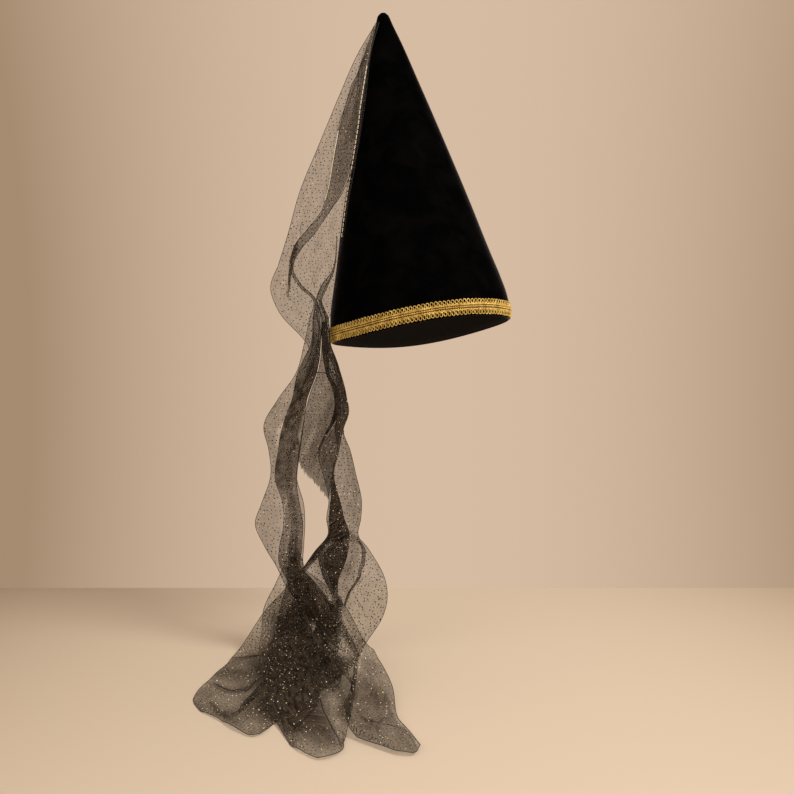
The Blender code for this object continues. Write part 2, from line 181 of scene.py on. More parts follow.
RIGHT = (
    ((-89.5, -23, 101.1), (-88.8, -25, 100.8), (-89.2, -27, 100.8), (-88.5, -29, 100.6),
     (-89, -31, 100.6)),
    ((-95.4, -24, 62.9), (-92.4, -26, 62.9), (-94.7, -28, 62.1), (-92.4, -30, 62.1),
     (-93.2, -32, 62.1)),
    ((-106, -22, 49), (-100, -24, 46), (-105, -26, 48), (-100, -28, 45), (-102, -30, 45)),
    ((-112, -18.5, 35), (-106, -20.5, 32), (-111, -22.5, 33), (-106, -24.5, 32), (-107, -26.5, 32)),
    ((-106, -18.5, 14), (-99, -20.5, 14), (-105, -22.5, 14), (-99, -24.5, 14), (-102, -26.5, 13)),
    ((-103, -20, -15), (-96, -22, -15), (-102, -24, -15), (-96, -26, -15), (-99, -28, -16)),
    ((-99, -17, -38), (-89, -20, -38), (-98, -22, -38), (-88, -24, -38), (-93, -26, -38)),
    ((-90, -16, -67), (-81, -19, -67), (-89, -21, -67), (-80, -23, -67), (-84, -25, -67)),
    ((-89, -15, -88), (-77, -18, -88), (-88, -20, -88), (-78, -22, -88), (-83, -24, -88)),
    ((-94, -13, -105), (-83, -16, -105), (-92, -18, -104), (-83, -20, -104), (-85, -22, -104)),
    ((-110, -11, -129), (-88.1, -13, -128), (-89.5, -16, -128), (-80, -17, -128), (-76, -18, -128)),
    ((-106, -7, -155), (-94.4, -8, -155), (-95.8, -12, -155), (-76, -12, -155), (-70, -12, -155)),
    ((-100, -2, -184), (-88, -3, -184), (-97.3, -7, -184), (-72, -7, -184), (-64, -7, -184)),
    ((-103, 3, -206), (-83, 1, -205), (-100, -3, -205), (-75, -3, -205), (-65, -3, -205)),
    ((-102, 8, -224), (-78.9, 6, -224), (-99, 2, -223), (-74, 1, -223), (-68, 0, -223)),
    ((-116, 13, -242), (-81.1, 11, -249), (-112.3, 7, -243), (-66, 6, -242), (-57, 5, -239)),
    ((-131, 17, -263), (-90.7, 15, -276), (-107.7, 11, -268), (-62, 9, -268), (-41, 9, -267)),
    ((-152, 20, -288), (-93.4, 22, -300), (-97.6, 17, -298), (-74, 14, -289), (-36, 12, -291)),
    ((-174, 20, -312), (-94, 25, -331), (-112, 20, -324), (-78, 17, -319), (-41, 13, -316)),
    ((-195, 17, -344), (-109, 14, -354), (-133, 10, -348), (-83, 8, -352), (-57, 10, -341)),
    ((-205, -21, -354), (-147.5, -51, -352), (-148.5, -45, -350), (-101, -76, -350),
     (-71, -37, -353)),
    ((-214, -87, -354), (-158, -110, -353), (-158.5, -110, -351), (-126, -145, -352),
     (-102, -120, -354)),
    ((-215, -136, -355), (-169, -168, -353), (-166, -170, -352), (-145, -187, -354),
     (-126, -168, -354)),
    ((-204, -158, -355), (-183, -178, -354), (-160, -204, -353), (-143, -214, -354),
     (-132, -187, -355)),
)
MIDDLE = (
    ((-107, -15, 10), (-102, -13, 10), (-107, -11, 11), (-103, -9, 11)),
    ((-107, -13, -16), (-100, -11, -16), (-107, -9, -15), (-101, -7, -15)),
    ((-111.2, -10, -44), (-99, -8, -44), (-103, -6, -44), (-98, -4, -44)),
    ((-119.7, -7, -66), (-91, -7, -66), (-95, -4, -66), (-89, -2, -66)),
    ((-126, -5, -90), (-91, -6, -90), (-95, -3, -90), (-87, 0, -90)),
    ((-130, -4, -115), (-104, -5, -115), (-105, -2, -115), (-89, 0, -115)),
    ((-133, -3, -131), (-116, -4, -138), (-114, -1, -140), (-95, 1, -149)),
    ((-134, -2, -142), (-124, -2, -157), (-117, 0, -163), (-101, 2, -184)),
)
# Lines that show on the veil, given one by one. Each row says which folds of the length and
# which thousandths of the way down to look in, and then where the line shows on the photo,
# in the photo's points from its left and from its top.
# Pleats: left edge, right edge, and how far down.
PLEATS_SEEN = {
    "sail": (
        ((0, 4), (200, 400), ((292, 296.5, 252), (290, 294, 262), (288.6, 291.6, 273),
         (288.4, 290.4, 288), (288.3, 289.3, 300))),
    ),
    "left_streamer": (
        ((2, 3), (560, 1000), ((290, 303, 560), (298, 312, 580), (306, 330, 600), (318, 343, 625),
         (328, 352, 645))),
        ((0, 1), (600, 830), ((286, 298, 575), (292, 308, 595), (300, 322, 615))),
    ),
    "right_streamer": (
        ((1, 3), (250, 700), ((331.5, 334.5, 478), (330.5, 338, 495), (328, 341, 512),
         (327.5, 346, 525), (329, 350, 535))),
        ((0, 1), (380, 760), ((326, 347, 548), (320, 347, 558), (324, 343, 570), (329, 339, 580),
         (333, 335.5, 590))),
        ((2, 4), (420, 760), ((360, 363, 545), (362.5, 365, 556), (357, 360, 571), (351, 353.5, 587),
         (344, 346.5, 602))),
    ),
    "short_end": (),
}
# More pleats: thousandths of the way down, the place across counted in folds, and half
# the pleat's width in the same count.
PLEATS_SET = {
    "sail": (
        ((700, 0.55, 0), (720, 0.55, 0.2), (760, 0.55, 0.38), (850, 0.5, 0.4), (905, 0.5, 0.28),
         (925, 0.52, 0)),
        ((690, 2.5, 0), (705, 2.5, 0.2), (750, 2.5, 0.34), (850, 2.5, 0.36), (900, 2.5, 0.3),
         (925, 2.5, 0)),
        ((640, 3.5, 0), (680, 3.5, 0.3), (740, 3.5, 0.4), (800, 3.5, 0.34), (850, 3.45, 0.2),
         (880, 3.4, 0)),
    ),
    "left_streamer": (),
    "right_streamer": (
        ((600, 2.45, 0), (620, 2.45, 0.25), (680, 2.45, 0.38), (760, 2.5, 0.38), (815, 2.5, 0.3),
         (850, 2.5, 0)),
        ((470, 0.1, 0), (485, 0.1, 0.06), (530, 0.09, 0.08), (570, 0.06, 0.05), (600, 0.06, 0)),
    ),
    "short_end": (),
}
# Creases: where to look, the cord's radius in mm, and the places.
CREASES = {
    "sail": (
        ((1, 4), (0, 250), 0.35, ((367, 53), (360, 68), (352, 86), (345, 107), (338, 127))),
        ((2, 4), (0, 250), 0.35, ((364, 55), (361, 62), (358, 84), (355, 104), (352, 124))),
        ((2, 4), (0, 250), 0.3, ((368, 48), (363, 64), (361, 82), (358, 100), (356, 115))),
        ((0, 3), (200, 420), 0.3, ((303, 219), (301, 227), (300, 236))),
        ((1, 4), (280, 420), 0.3, ((312, 279), (314, 284), (316, 289))),
        ((2.6, 3.4), (840, 1000), 0.6, ((315, 676), (317, 686), (319, 698), (325, 714), (333, 730),
         (341, 745))),
    ),
    "left_streamer": (
        ((2, 3), (700, 1000), 0.35, ((363, 719), (372, 722), (381, 722), (394, 713))),
        ((2, 3), (700, 1000), 0.3, ((381, 722), (392, 726), (404, 729))),
        ((2, 3), (680, 840), 0.35, ((342, 613), (340.5, 622), (338, 633), (335.5, 643), (336.5, 650),
         (342, 659))),
        ((2, 3), (300, 520), 0.5, ((314, 298), (312, 312), (311, 326), (313, 340), (311, 352),
         (306, 366), (301, 374))),
        ((2, 3), (300, 520), 0.5, ((316, 300), (317, 314), (319, 328), (318, 342), (315, 356),
         (310, 370), (303, 386), (298, 402))),
        ((2, 3), (300, 520), 0.42, ((317, 301), (320, 312), (322, 324), (320, 338), (318, 352),
         (315, 362))),
        ((2, 3), (300, 520), 0.42, ((313, 303), (308, 312), (306, 324), (304, 340), (303, 352),
         (300, 366))),
    ),
    "right_streamer": (
        ((0, 1), (750, 1000), 0.5, ((213, 683), (222, 687), (231, 690), (240, 690), (247, 689),
         (255, 683), (262, 676))),
        ((0, 1), (750, 1000), 0.35, ((260, 683), (256, 690), (251, 698), (246, 706), (242, 711))),
        ((0, 1), (650, 1000), 0.4, ((231, 658), (243, 657), (254, 656), (265, 652), (276, 647))),
        ((2, 3), (60, 320), 0.5, ((318, 297), (323, 306), (325, 316), (326, 328), (328, 340),
         (333, 352), (338, 364), (341, 378), (345, 398))),
        ((2, 3), (60, 320), 0.42, ((319, 300), (324, 312), (327, 324), (329, 336), (335, 350),
         (340, 362), (344, 378))),
        ((2, 3), (60, 320), 0.42, ((325, 318), (323, 332), (325, 346), (330, 358), (335, 372),
         (338, 388), (340, 404))),
        ((0, 4), (200, 480), 0.35, ((340.7, 424), (339.4, 444), (335.3, 457), (334, 464), (332, 475))),
        ((0, 4), (560, 760), 0.3, ((353, 592), (360, 603), (366.7, 616))),
    ),
    "short_end": (
        ((0, 3), (300, 1000), 0.35, ((330, 445), (325, 458), (320, 470), (318, 475))),
    ),
}
# Where the net closes up or opens; the closing up is partly denser net and partly painted shade
# by the folds: where to look, the reach in mm, the change in how solid it looks, and the places.
STROKES = {
    "sail": (
        ((0, 1), (600, 800), 7, 0.26, ((277, 616), (275, 628), (273, 640), (271, 652))),
        ((1, 4), (0, 220), 1.8, 0.4, ((367, 53), (361, 66), (355, 85), (350, 98), (344, 114),
         (338, 131))),
        ((0, 4), (0, 300), 4.5, 0.38, ((369, 45), (366, 60), (363, 80), (359, 100), (356, 120),
         (353, 140))),
        ((2, 4), (60, 300), 8, 0.2, ((350, 120), (346, 140), (343, 160), (340, 178))),
        ((0, 2), (40, 300), 2, 0.12, ((352, 86), (345, 107), (339, 128), (334, 150), (328, 182),
         (324, 200))),
        ((0, 4), (100, 400), 2, 0.25, ((296, 247), (292, 256), (290, 268), (289, 280), (288.6, 300))),
        ((0, 4), (380, 640), 1.6, -0.35, ((291, 409), (284, 424), (280.4, 432), (277, 445))),
        ((2, 4), (760, 1000), 12, 0.14, ((290, 728), (305, 735), (318, 738), (328, 742))),
        ((1, 3.4), (840, 1000), 9, 0.18, ((309, 684), (312, 698), (318, 712), (325, 726), (334, 740))),
        ((0, 4), (780, 1000), 18, 0.4, ((276, 700), (290, 706), (304, 710), (316, 714))),
        ((0, 4), (820, 1000), 8, 0.34, ((280, 716), (296, 718), (312, 723), (326, 729))),
        ((2.6, 4), (860, 1000), 8, -0.2, ((330, 694), (334, 706), (340, 718), (344, 730))),
        ((0, 4), (820, 1000), 1.6, 0.24, ((292, 712), (297, 722), (301, 731))),
        ((0, 4), (820, 1000), 1.5, 0.22, ((285, 706), (290, 716), (292, 725))),
    ),
    "left_streamer": (
        ((0, 1), (380, 560), 10, 0.1, ((274, 405), (271, 425), (271, 445), (277, 460))),
        ((0, 1), (520, 680), 10, 0.07, ((268, 500), (264, 520), (266, 540), (272, 556))),
        ((0, 3), (380, 640), 2.2, 0.28, ((300, 390), (294, 403), (290, 413), (286, 425), (282, 437),
         (278, 450))),
        ((0, 3), (380, 640), 1.6, -0.35, ((291, 409), (284, 424), (280.4, 432), (277, 445))),
        ((0, 3), (380, 640), 1.3, -0.35, ((306, 410), (302, 426), (301, 444), (299, 452))),
        ((0, 3), (380, 640), 3, 0.3, ((312, 366), (306, 380), (300, 396), (295, 412), (292, 428))),
        ((0, 3), (500, 640), 3, 0.2, ((280, 462), (283, 476), (289, 490))),
        ((0, 3), (500, 640), 1.5, -0.25, ((287, 498), (284, 515), (282, 530))),
        ((1, 3), (540, 680), 8, -0.09, ((294, 490), (293, 510), (291, 530), (291, 550))),
        ((0, 1), (690, 770), 7, -0.15, ((341, 622), (340, 634), (342, 645))),
        ((1, 2), (690, 770), 7, -0.15, ((341, 622), (340, 634), (342, 645))),
        ((2, 3), (690, 770), 7, -0.13, ((341, 622), (340, 634), (342, 645))),
        ((0, 1), (740, 840), 9, -0.26, ((343, 648), (348, 656), (353, 663))),
        ((1, 2), (740, 840), 9, -0.26, ((343, 648), (348, 656), (353, 663))),
        ((2, 3), (740, 840), 9, -0.2, ((343, 648), (348, 656), (353, 663))),
        ((0, 3), (760, 1000), 12, 0.26, ((369, 664), (374, 678), (378, 690), (381, 702))),
        ((0, 3), (750, 1000), 3.5, 0.28, ((363, 642), (358, 661), (356, 677), (353, 692), (350, 710))),
        ((0, 3), (750, 1000), 5, 0.16, ((368, 720), (380, 723), (392, 715))),
        ((0, 3), (800, 1000), 1.8, 0.28, ((358, 712), (366, 721), (374, 727), (380, 734))),
        ((0, 3), (800, 1000), 1.5, 0.22, ((366, 721), (376, 718), (385, 712))),
        ((0, 3), (800, 1000), 1.5, 0.22, ((370, 715), (371, 722), (369, 731))),
    ),
    "right_streamer": (
        ((0, 1), (600, 760), 7, 0.26, ((277, 620), (275, 630), (273, 642), (270, 654))),
        ((1.2, 1.9), (830, 960), 3, -0.13, ((258, 686), (252, 695), (246, 703), (240, 711))),
        ((0, 1), (650, 1000), 8, 0.14, ((238, 662), (250, 661), (262, 658), (270, 654))),
        ((0, 1), (840, 1000), 4, 0.14, ((212, 703), (220, 711), (228, 716), (236, 721))),
        ((0, 1), (560, 700), 9, 0.1, ((273, 585), (269, 600), (262, 615))),
        ((0, 2), (380, 760), 9, 0.2, ((313, 556), (319, 566), (325, 576), (331, 588))),
        ((0, 4), (100, 400), 2.5, 0.3, ((327, 342), (334, 358), (339, 372), (343, 388), (342, 402))),
        ((0, 1), (800, 1000), 1.6, 0.3, ((212, 703), (218, 709), (226, 714), (232, 719), (238, 722))),
        ((0, 2), (650, 1000), 14, 0.26, ((228, 672), (242, 672), (256, 668), (268, 662))),
        ((0, 2.6), (650, 1000), 12, 0.24, ((246, 684), (258, 676), (268, 668))),
        ((2.2, 4), (750, 1000), 14, 0.34, ((262, 694), (266, 706), (272, 714))),
        ((3, 4), (300, 480), 9, 0.13, ((350, 440), (353, 460), (355, 480), (356, 500), (355, 520))),
        ((2, 4), (470, 600), 7, 0.2, ((354, 548), (351, 560), (347, 573), (343, 586))),
        ((2.2, 3.1), (500, 640), 8, 0.15, ((351, 568), (351, 580), (350, 592), (347, 604))),
        ((0, 1), (650, 1000), 4.5, 0.26, ((231, 658), (243, 657), (254, 655), (265, 651), (275, 646))),
        ((0, 1), (560, 760), 9, 0.16, ((278, 612), (278, 624), (276, 636), (272, 646))),
        ((2.2, 3.6), (580, 720), 8, -0.2, ((341, 622), (341, 634), (343, 645), (349, 655))),
        ((0, 1), (750, 1000), 2.5, 0.3, ((215, 684), (231, 690), (247, 688), (260, 678))),
        ((0, 1), (480, 620), 2.5, 0.35, ((334, 534), (326, 540), (317, 549), (309, 558), (305, 566))),
        ((0, 4), (440, 560), 4, 0.4, ((330, 534), (340, 533), (352, 537), (358, 539))),
        ((0, 2), (800, 1000), 1.8, 0.26, ((212, 706), (219, 711), (227, 717), (234, 723))),
        ((0, 2), (800, 1000), 1.5, 0.22, ((219, 711), (228, 712), (237, 715))),
        ((0, 2), (800, 1000), 1.5, 0.22, ((224, 708), (230, 714), (240, 722))),
    ),
    "short_end": (
        ((0, 3), (100, 1000), 5, 0.12, ((333, 405), (328, 420), (322, 434))),
        ((0, 3), (100, 1000), 11, 0.2, ((338, 392), (334, 408), (329, 420), (322, 434), (316, 446),
         (312, 457))),
        ((0, 3), (100, 1000), 3, -0.2, ((316, 430), (308, 444), (302, 457))),
    ),
}
# The net's change and the shares of spots kept over and under, by thousandths of the
# way down.
FILM = {
    "sail": (
        (0, 0.03, 1, 1), (360, 0.05, 1, 1), (400, -0.14, 0.6, 0.3), (470, -0.2, 0.03, 0.03),
        (615, -0.2, 0.03, 0.03), (650, 0.02, 0.5, 0.3), (700, 0.05, 0.9, 0.7), (780, 0.04, 1, 0.9),
        (860, 0.03, 1, 0.9), (1000, 0.02, 1, 0.9),
    ),
    "left_streamer": (
        (0, -0.07, 0.6, 0.3), (200, -0.08, 0.6, 0.3), (240, -0.12, 0.5, 0.3), (270, -0.08, 0.7, 0.4),
        (330, -0.06, 0.9, 0.3), (380, 0.08, 0.9, 0.25), (400, 0.1, 0.9, 0.2), (430, 0.15, 0.9, 0.2),
        (495, 0.14, 0.9, 0.15), (545, 0.1, 0.9, 0.15), (640, 0.09, 1, 0.5), (740, 0.1, 1, 1),
        (820, 0.16, 1, 1), (1000, 0.14, 1, 1),
    ),
    "right_streamer": (
        (0, -0.12, 0.6, 0.5), (60, -0.12, 0.7, 0.5), (120, -0.08, 0.7, 0.4), (200, 0.06, 0.8, 0.7),
        (260, 0.22, 1, 1), (440, 0.2, 1, 1), (480, 0.2, 1, 1), (560, 0.06, 1, 0.8), (760, 0.1, 1, 1),
        (1000, 0.1, 1, 1),
    ),
    "short_end": (
        (0, 0.36, 1, 1), (1000, 0.42, 1, 1),
    ),
}
# The caught thread: left to right, depth, up
THREAD = (
    (-116, -26, -44),
    (-110, -28, -44.8),
    (-104, -28, -45.2),
    (-98, -28, -45.2),
    (-92.5, -27, -45),
)
# a pale cord painted along the fold edge under the tip as its highlight: the place on the photo, and
# its depth in mm
FOLD_HIGHLIGHT_LINE = ((338.3, 130.7, -8.6), (334.4, 152, -8.9), (329, 184, -9.8), (325.2, 200, -8.8))
# the stitched edge lying beside the crown, given the same way
STITCHED_EDGE = (
    (366.9, 66, -6.5), (364.2, 82, -8.5), (361.6, 98, -10.8), (359.7, 112, -12.5),
    (358.4, 124, -14.2), (356.6, 136, -15.6), (352.8, 160, -17.4), (347.6, 191, -17),
    (345, 210, -18.2), (343, 226, -19.6), (341.2, 240, -20.8),
)
STITCH_LONG = 4.4
STITCH_GAP = 1.3
# name, CAD node, sections, rows, columns, wrinkle, seed, flat size, area, hold, rests on
VEILS = (
    ("sail", "veil_sail", SAIL, 400, 220, 1.3, 1, (0.38, 0.97), 0.111, "gathered", ["crown"]),
    ("left_streamer", "veil_streamer_left", LEFT, 420, 210, 0.9, 2, (0.2, 0.98), 0.063, "gathered",
     ["crown"]),
    ("right_streamer", "veil_streamer_right", RIGHT, 360, 230, 1.1, 3, (0.28, 0.72), 0.0755, "gathered",
     ["veil_sail"]),
    ("short_end", "veil_short_end", MIDDLE, 130, 110, 0.8, 4, (0.06, 0.18), 0.0064, "gathered",
     ["veil_streamer_left"]),
)

# Backdrop: wall and floor in the middle and towards the sides, and the room's own light
WALL_MIDDLE = (0.672, 0.503, 0.367)
WALL_SIDE = (0.381, 0.262, 0.165)
# the floor's colours: a painted pool of light in the middle, painted shade towards the sides
FLOOR_LIT_MIDDLE = (0.72, 0.60, 0.48)
FLOOR_SHADED_SIDE = (0.44, 0.34, 0.25)
ROOM_LIGHT = (0.56, 0.48, 0.39)

BACKDROP_POWER = 2.2
FLOOR = -356.0
FLOOR_CORNERS = ((-4000, -2600), (4000, -2600), (4000, 319), (-4000, 319))

# Camera, in the plane the veil hangs in: across, depth, up, and the lens
CAMERA_PLACE = (-25.2, -895.0, -71.0)
CAMERA_LENS = 36.86
CAMERA_SENSOR = 36.0
# the photo's middle, from its left and from its top, and its focal length, in its points
PHOTO_MIDDLE = 397.0
PHOTO_FOCUS = 813.0

# Veil details: cord along an edge and along a fold, and half a pleat's thickness
HEM_CORD = 0.32
FOLD_CORD = 0.28
PLY = 0.42
# the even grid's columns in a fold, the rougher grid that lines are found on, and the
# thousandths of the way down over which a pleat opens at its ends
PER_FOLD = 30
FINDING_ROWS = 361
FINDING_PER_FOLD = 12
PLEAT_TAPER = 14
# uneven patches of the net: rows and columns between them, and their strength
BLOTCH_DOWN = 5
BLOTCH_ACROSS = 6
BLOTCH_SHARE = 0.04
# dots: spacing in mm, radius, height over the net and tilt
DOT_SPACING = {"sail": 4.6, "left_streamer": 4.6, "right_streamer": 3.9, "short_end": 3.8}
DOT_RADIUS = 0.68
DOT_LIFT = 0.14
DOT_TILT = 0.03
# past this many folds the cloth lies under, and how many of the spots show in a pleat
UNDER_FROM = 1.03
PLEAT_SPOTS = 0.4
# glitter, gold and then silver: spacing, share kept, radius, seed
GLITTER = (
    (5.6, 0.45, 0.47, 3),
    (5.6, 0.6, 0.46, 5),
)
GLITTER_LIFT = 0.25
GLITTER_TILT = 0.5
# the length whose cut end frays
FRAYED = "short_end"
# radii of the caught thread, of the pale cord painted as the fold edge's highlight, and of the stitches
THREAD_RADIUS = 0.62
FOLD_HIGHLIGHT_RADIUS = 0.42
STITCH_RADIUS = 0.5
# net: how solid its threads, its holes and its closest folds look
NET_THREAD = 0.62
NET_HOLE = 0.215
NET_MOST = 0.84
# the painted crease shade and light on the net: its scale across the cloth, down it and in depth
CREASES_PER_METRE = (260.0, 60.0, 1.0)


def smooth_through(keys, rows, at):
    """Rows of numbers given at keys, read at other places along a smooth curve."""
    keys = np.asarray(keys, float)
    rows = np.asarray(rows, float)
    shape = (-1,) + (1,) * (rows.ndim - 1)
    step = np.diff(keys).reshape(shape)
    slope = np.diff(rows, axis=0) / step
    middle = (slope[:-1] * step[1:] + slope[1:] * step[:-1]) / (step[:-1] + step[1:])
    tangent = np.concatenate([slope[:1], middle, slope[-1:]])
    i = np.clip(np.searchsorted(keys, at, side="right") - 1, 0, len(keys) - 2)
    h = (keys[i + 1] - keys[i]).reshape(shape)
    u = ((at - keys[i]) / (keys[i + 1] - keys[i])).reshape(shape)
    start, end = rows[i], rows[i + 1]
    out, into = tangent[i] * h, tangent[i + 1] * h
    return (
        start * (2 * u**3 - 3 * u**2 + 1)
        + out * (u**3 - 2 * u**2 + u)
        + end * (3 * u**2 - 2 * u**3)
        + into * (u**3 - u**2)
    )


def turned(points):
    """From the plane the veil hangs in to the hat's own directions."""
    points = np.asarray(points, float)
    cosine, sine = np.cos(VEIL_TURN), np.sin(VEIL_TURN)
    x = points[..., 0] * cosine - points[..., 1] * sine
    y = points[..., 0] * sine + points[..., 1] * cosine
    return np.stack([x, y, points[..., 2]], axis=-1)


def on_photo(grid):
    """Where places in the plane the veil hangs in show on the photo, in its points."""
    scale = PHOTO_FOCUS / (grid[..., 1] - CAMERA_PLACE[1])
    across = PHOTO_MIDDLE + (grid[..., 0] - CAMERA_PLACE[0]) * scale
    down = PHOTO_MIDDLE - (grid[..., 2] - CAMERA_PLACE[2]) * scale
    return np.stack([across, down], axis=-1)


def from_photo(across, down, depth):
    """The place in that plane, to a tenth of a mm, that shows at a point at this depth."""
    scale = (depth - CAMERA_PLACE[1]) / PHOTO_FOCUS
    left_to_right = round((across - PHOTO_MIDDLE) * scale + CAMERA_PLACE[0], 1)
    up = round(CAMERA_PLACE[2] - (down - PHOTO_MIDDLE) * scale, 1)
    return left_to_right, depth, up


def add_mesh(name, points, faces, materials, uv=None, fold=None, face_materials=None):
    """One piece from places in mm, riding on the hat."""
    mesh = bpy.data.meshes.new(name)
    mesh.from_pydata((np.asarray(points, float).reshape(-1, 3) * MM).tolist(), [], faces)
    for one in materials:
        mesh.materials.append(one)
    mesh.polygons.foreach_set("use_smooth", np.ones(len(mesh.polygons), bool))
    if face_materials is not None:
        mesh.polygons.foreach_set("material_index", np.asarray(face_materials, np.int32))
    corners = np.empty(len(mesh.loops), np.int32)
    mesh.loops.foreach_get("vertex_index", corners)
    if uv is not None:
        layer = mesh.uv_layers.new(name="cloth")
        layer.data.foreach_set("uv", np.asarray(uv, float).reshape(-1, 2)[corners].ravel())
    if fold is not None:
        made = mesh.attributes.new("fold", "FLOAT", "POINT")
        made.data.foreach_set("value", np.asarray(fold, np.float32).ravel())
    mesh.update()
    piece = bpy.data.objects.new(name, mesh)
    bpy.context.scene.collection.objects.link(piece)
    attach(piece, "root")
    return piece


def grid_faces(n, m, closed_n=False, closed_m=False):
    """Four-sided faces over a grid of n rows and m columns."""
    i = np.arange(n if closed_n else n - 1)
    j = np.arange(m if closed_m else m - 1)
    i, j = np.meshgrid(i, j, indexing="ij")
    i2, j2 = (i + 1) % n, (j + 1) % m
    quads = np.stack([i * m + j, i2 * m + j, i2 * m + j2, i * m + j2], axis=-1)
    return quads.reshape(-1, 4).tolist()


# a direction that no cord runs along, to set a cord's sides by
TUBE_GUIDE = np.array([0.31, 0.17, 0.93])


def tube(path, radius, sides=6, closed=False):
    """A cord along a path: places around each of its points."""
    path = np.asarray(path, float)
    if closed:
        ahead = np.roll(path, -1, axis=0) - np.roll(path, 1, axis=0)
    else:
        ahead = np.gradient(path, axis=0)
    ahead /= np.linalg.norm(ahead, axis=1, keepdims=True)
    side = np.cross(ahead, TUBE_GUIDE)
    side /= np.linalg.norm(side, axis=1, keepdims=True)
    other = np.cross(side, ahead)
    turn = np.linspace(0.0, 2 * np.pi, sides, endpoint=False)
    radius = np.asarray(radius, float) * np.ones(len(path))
    return (
        path[:, None]
        + side[:, None] * (np.cos(turn)[None, :, None] * radius[:, None, None])
        + other[:, None] * (np.sin(turn)[None, :, None] * radius[:, None, None])
    )


class Heap:
    """Several shapes gathered into one piece."""

    def __init__(self):
        self.points = []
        self.faces = []
        self.count = 0

    def add(self, points, faces):
        points = np.asarray(points, float).reshape(-1, 3)
        self.faces += [tuple(v + self.count for v in face) for face in faces]
        self.points.append(points)
        self.count += len(points)

    def add_tube(self, path, radius, sides=6, closed=False):
        """A cord, with its ends closed unless it runs round."""
        ring = tube(path, radius, sides, closed)
        n, m = ring.shape[:2]
        faces = grid_faces(n, m, closed_n=closed, closed_m=True)
        if not closed:
            faces.append(list(range(m)))
            faces.append(list(range(n * m - 1, (n - 1) * m - 1, -1)))
        self.add(ring, faces)

    def piece(self, name, look):
        return add_mesh(name, np.concatenate(self.points), self.faces, [look])


# Materials

def shader_of(name, colour, roughness, metallic=0.0):
    """A plain material, with its shader, nodes and links."""
    made = bpy.data.materials.new(name)
    made.use_nodes = True
    nodes, links = made.node_tree.nodes, made.node_tree.links
    shader = nodes["Principled BSDF"]
    shader.inputs["Base Color"].default_value = (*colour, 1.0)
    shader.inputs["Roughness"].default_value = roughness
    shader.inputs["Metallic"].default_value = metallic
    return made, shader, nodes, links


def noise_of(nodes, links, scale, detail, vector, distortion=0.0):
    """A noise, from 0 to 1."""
    made = nodes.new("ShaderNodeTexNoise")
    made.inputs["Scale"].default_value = scale
    made.inputs["Detail"].default_value = detail
    made.inputs["Distortion"].default_value = distortion
    links.new(vector, made.inputs["Vector"])
    return made.outputs["Fac"]


def map_range(nodes, links, value, low, high, to_low, to_high):
    """A value stretched from one range to another."""
    made = nodes.new("ShaderNodeMapRange")
    made.inputs["From Min"].default_value = low
    made.inputs["From Max"].default_value = high
    made.inputs["To Min"].default_value = to_low
    made.inputs["To Max"].default_value = to_high
    links.new(value, made.inputs["Value"])
    return made.outputs["Result"]


def worked(nodes, links, operation, first, second=None, clamp=False):
    """One step of arithmetic on a value, with another value or a number."""
    made = nodes.new("ShaderNodeMath")
    made.operation = operation
    made.use_clamp = clamp
    links.new(first, made.inputs[0])
    if isinstance(second, float):
        made.inputs[1].default_value = second
    elif second is not None:
        links.new(second, made.inputs[1])
    return made.outputs[0]


def mixed(nodes, links, factor, first, second):
    """A colour between two colours."""
    made = nodes.new("ShaderNodeMix")
    made.data_type = "RGBA"
    made.inputs["A"].default_value = (*first, 1.0)
    made.inputs["B"].default_value = (*second, 1.0)
    links.new(factor, made.inputs["Factor"])
    return made.outputs["Result"]


def bumped(nodes, links, shader, height, strength, distance):
    """Fine relief on a material."""
    bump = nodes.new("ShaderNodeBump")
    bump.inputs["Strength"].default_value = strength
    bump.inputs["Distance"].default_value = distance
    links.new(height, bump.inputs["Height"])
    links.new(bump.outputs["Normal"], shader.inputs["Normal"])


def velvet():
    """Black pile that shines where it is seen edge on."""
    made, shader, nodes, links = shader_of("velvet", (0.004, 0.004, 0.0045), 0.85)
    rim = nodes.new("ShaderNodeLayerWeight")
    rim.inputs["Blend"].default_value = 0.5
    links.new(
        map_range(nodes, links, rim.outputs["Facing"], 0.4, 1.0, 0.003, 0.8),
        shader.inputs["Sheen Weight"],
    )
    shader.inputs["Sheen Roughness"].default_value = 0.2
    shader.inputs["Sheen Tint"].default_value = (0.62, 0.62, 0.72, 1.0)
    shader.inputs["Specular IOR Level"].default_value = 0.0
    where = nodes.new("ShaderNodeTexCoord").outputs["Object"]
    brushed = noise_of(nodes, links, 38.0, 4.0, where, 0.6)
    pile = noise_of(nodes, links, 1500.0, 2.0, where)
    colour = mixed(
        nodes, links, map_range(nodes, links, brushed, 0.42, 0.72, 0.0, 1.0),
        (0.0010, 0.0010, 0.0011), (0.0030, 0.0026, 0.0025),
    )
    links.new(colour, shader.inputs["Base Color"])
    links.new(map_range(nodes, links, brushed, 0.3, 0.7, 0.72, 0.95), shader.inputs["Roughness"])
    bumped(nodes, links, shader, pile, 0.35, 0.0006)
    return made


def plain_cloth():
    """The dark stiffened cloth inside the cone."""
    made, shader, nodes, links = shader_of("crown_inside", (0.012, 0.011, 0.011), 0.9)
    where = nodes.new("ShaderNodeTexCoord").outputs["Object"]
    weave = noise_of(nodes, links, 900.0, 2.0, where)
    links.new(
        mixed(nodes, links, weave, (0.006, 0.0055, 0.0055), (0.02, 0.018, 0.018)),
        shader.inputs["Base Color"],
    )
    bumped(nodes, links, shader, weave, 0.3, 0.0004)
    return made


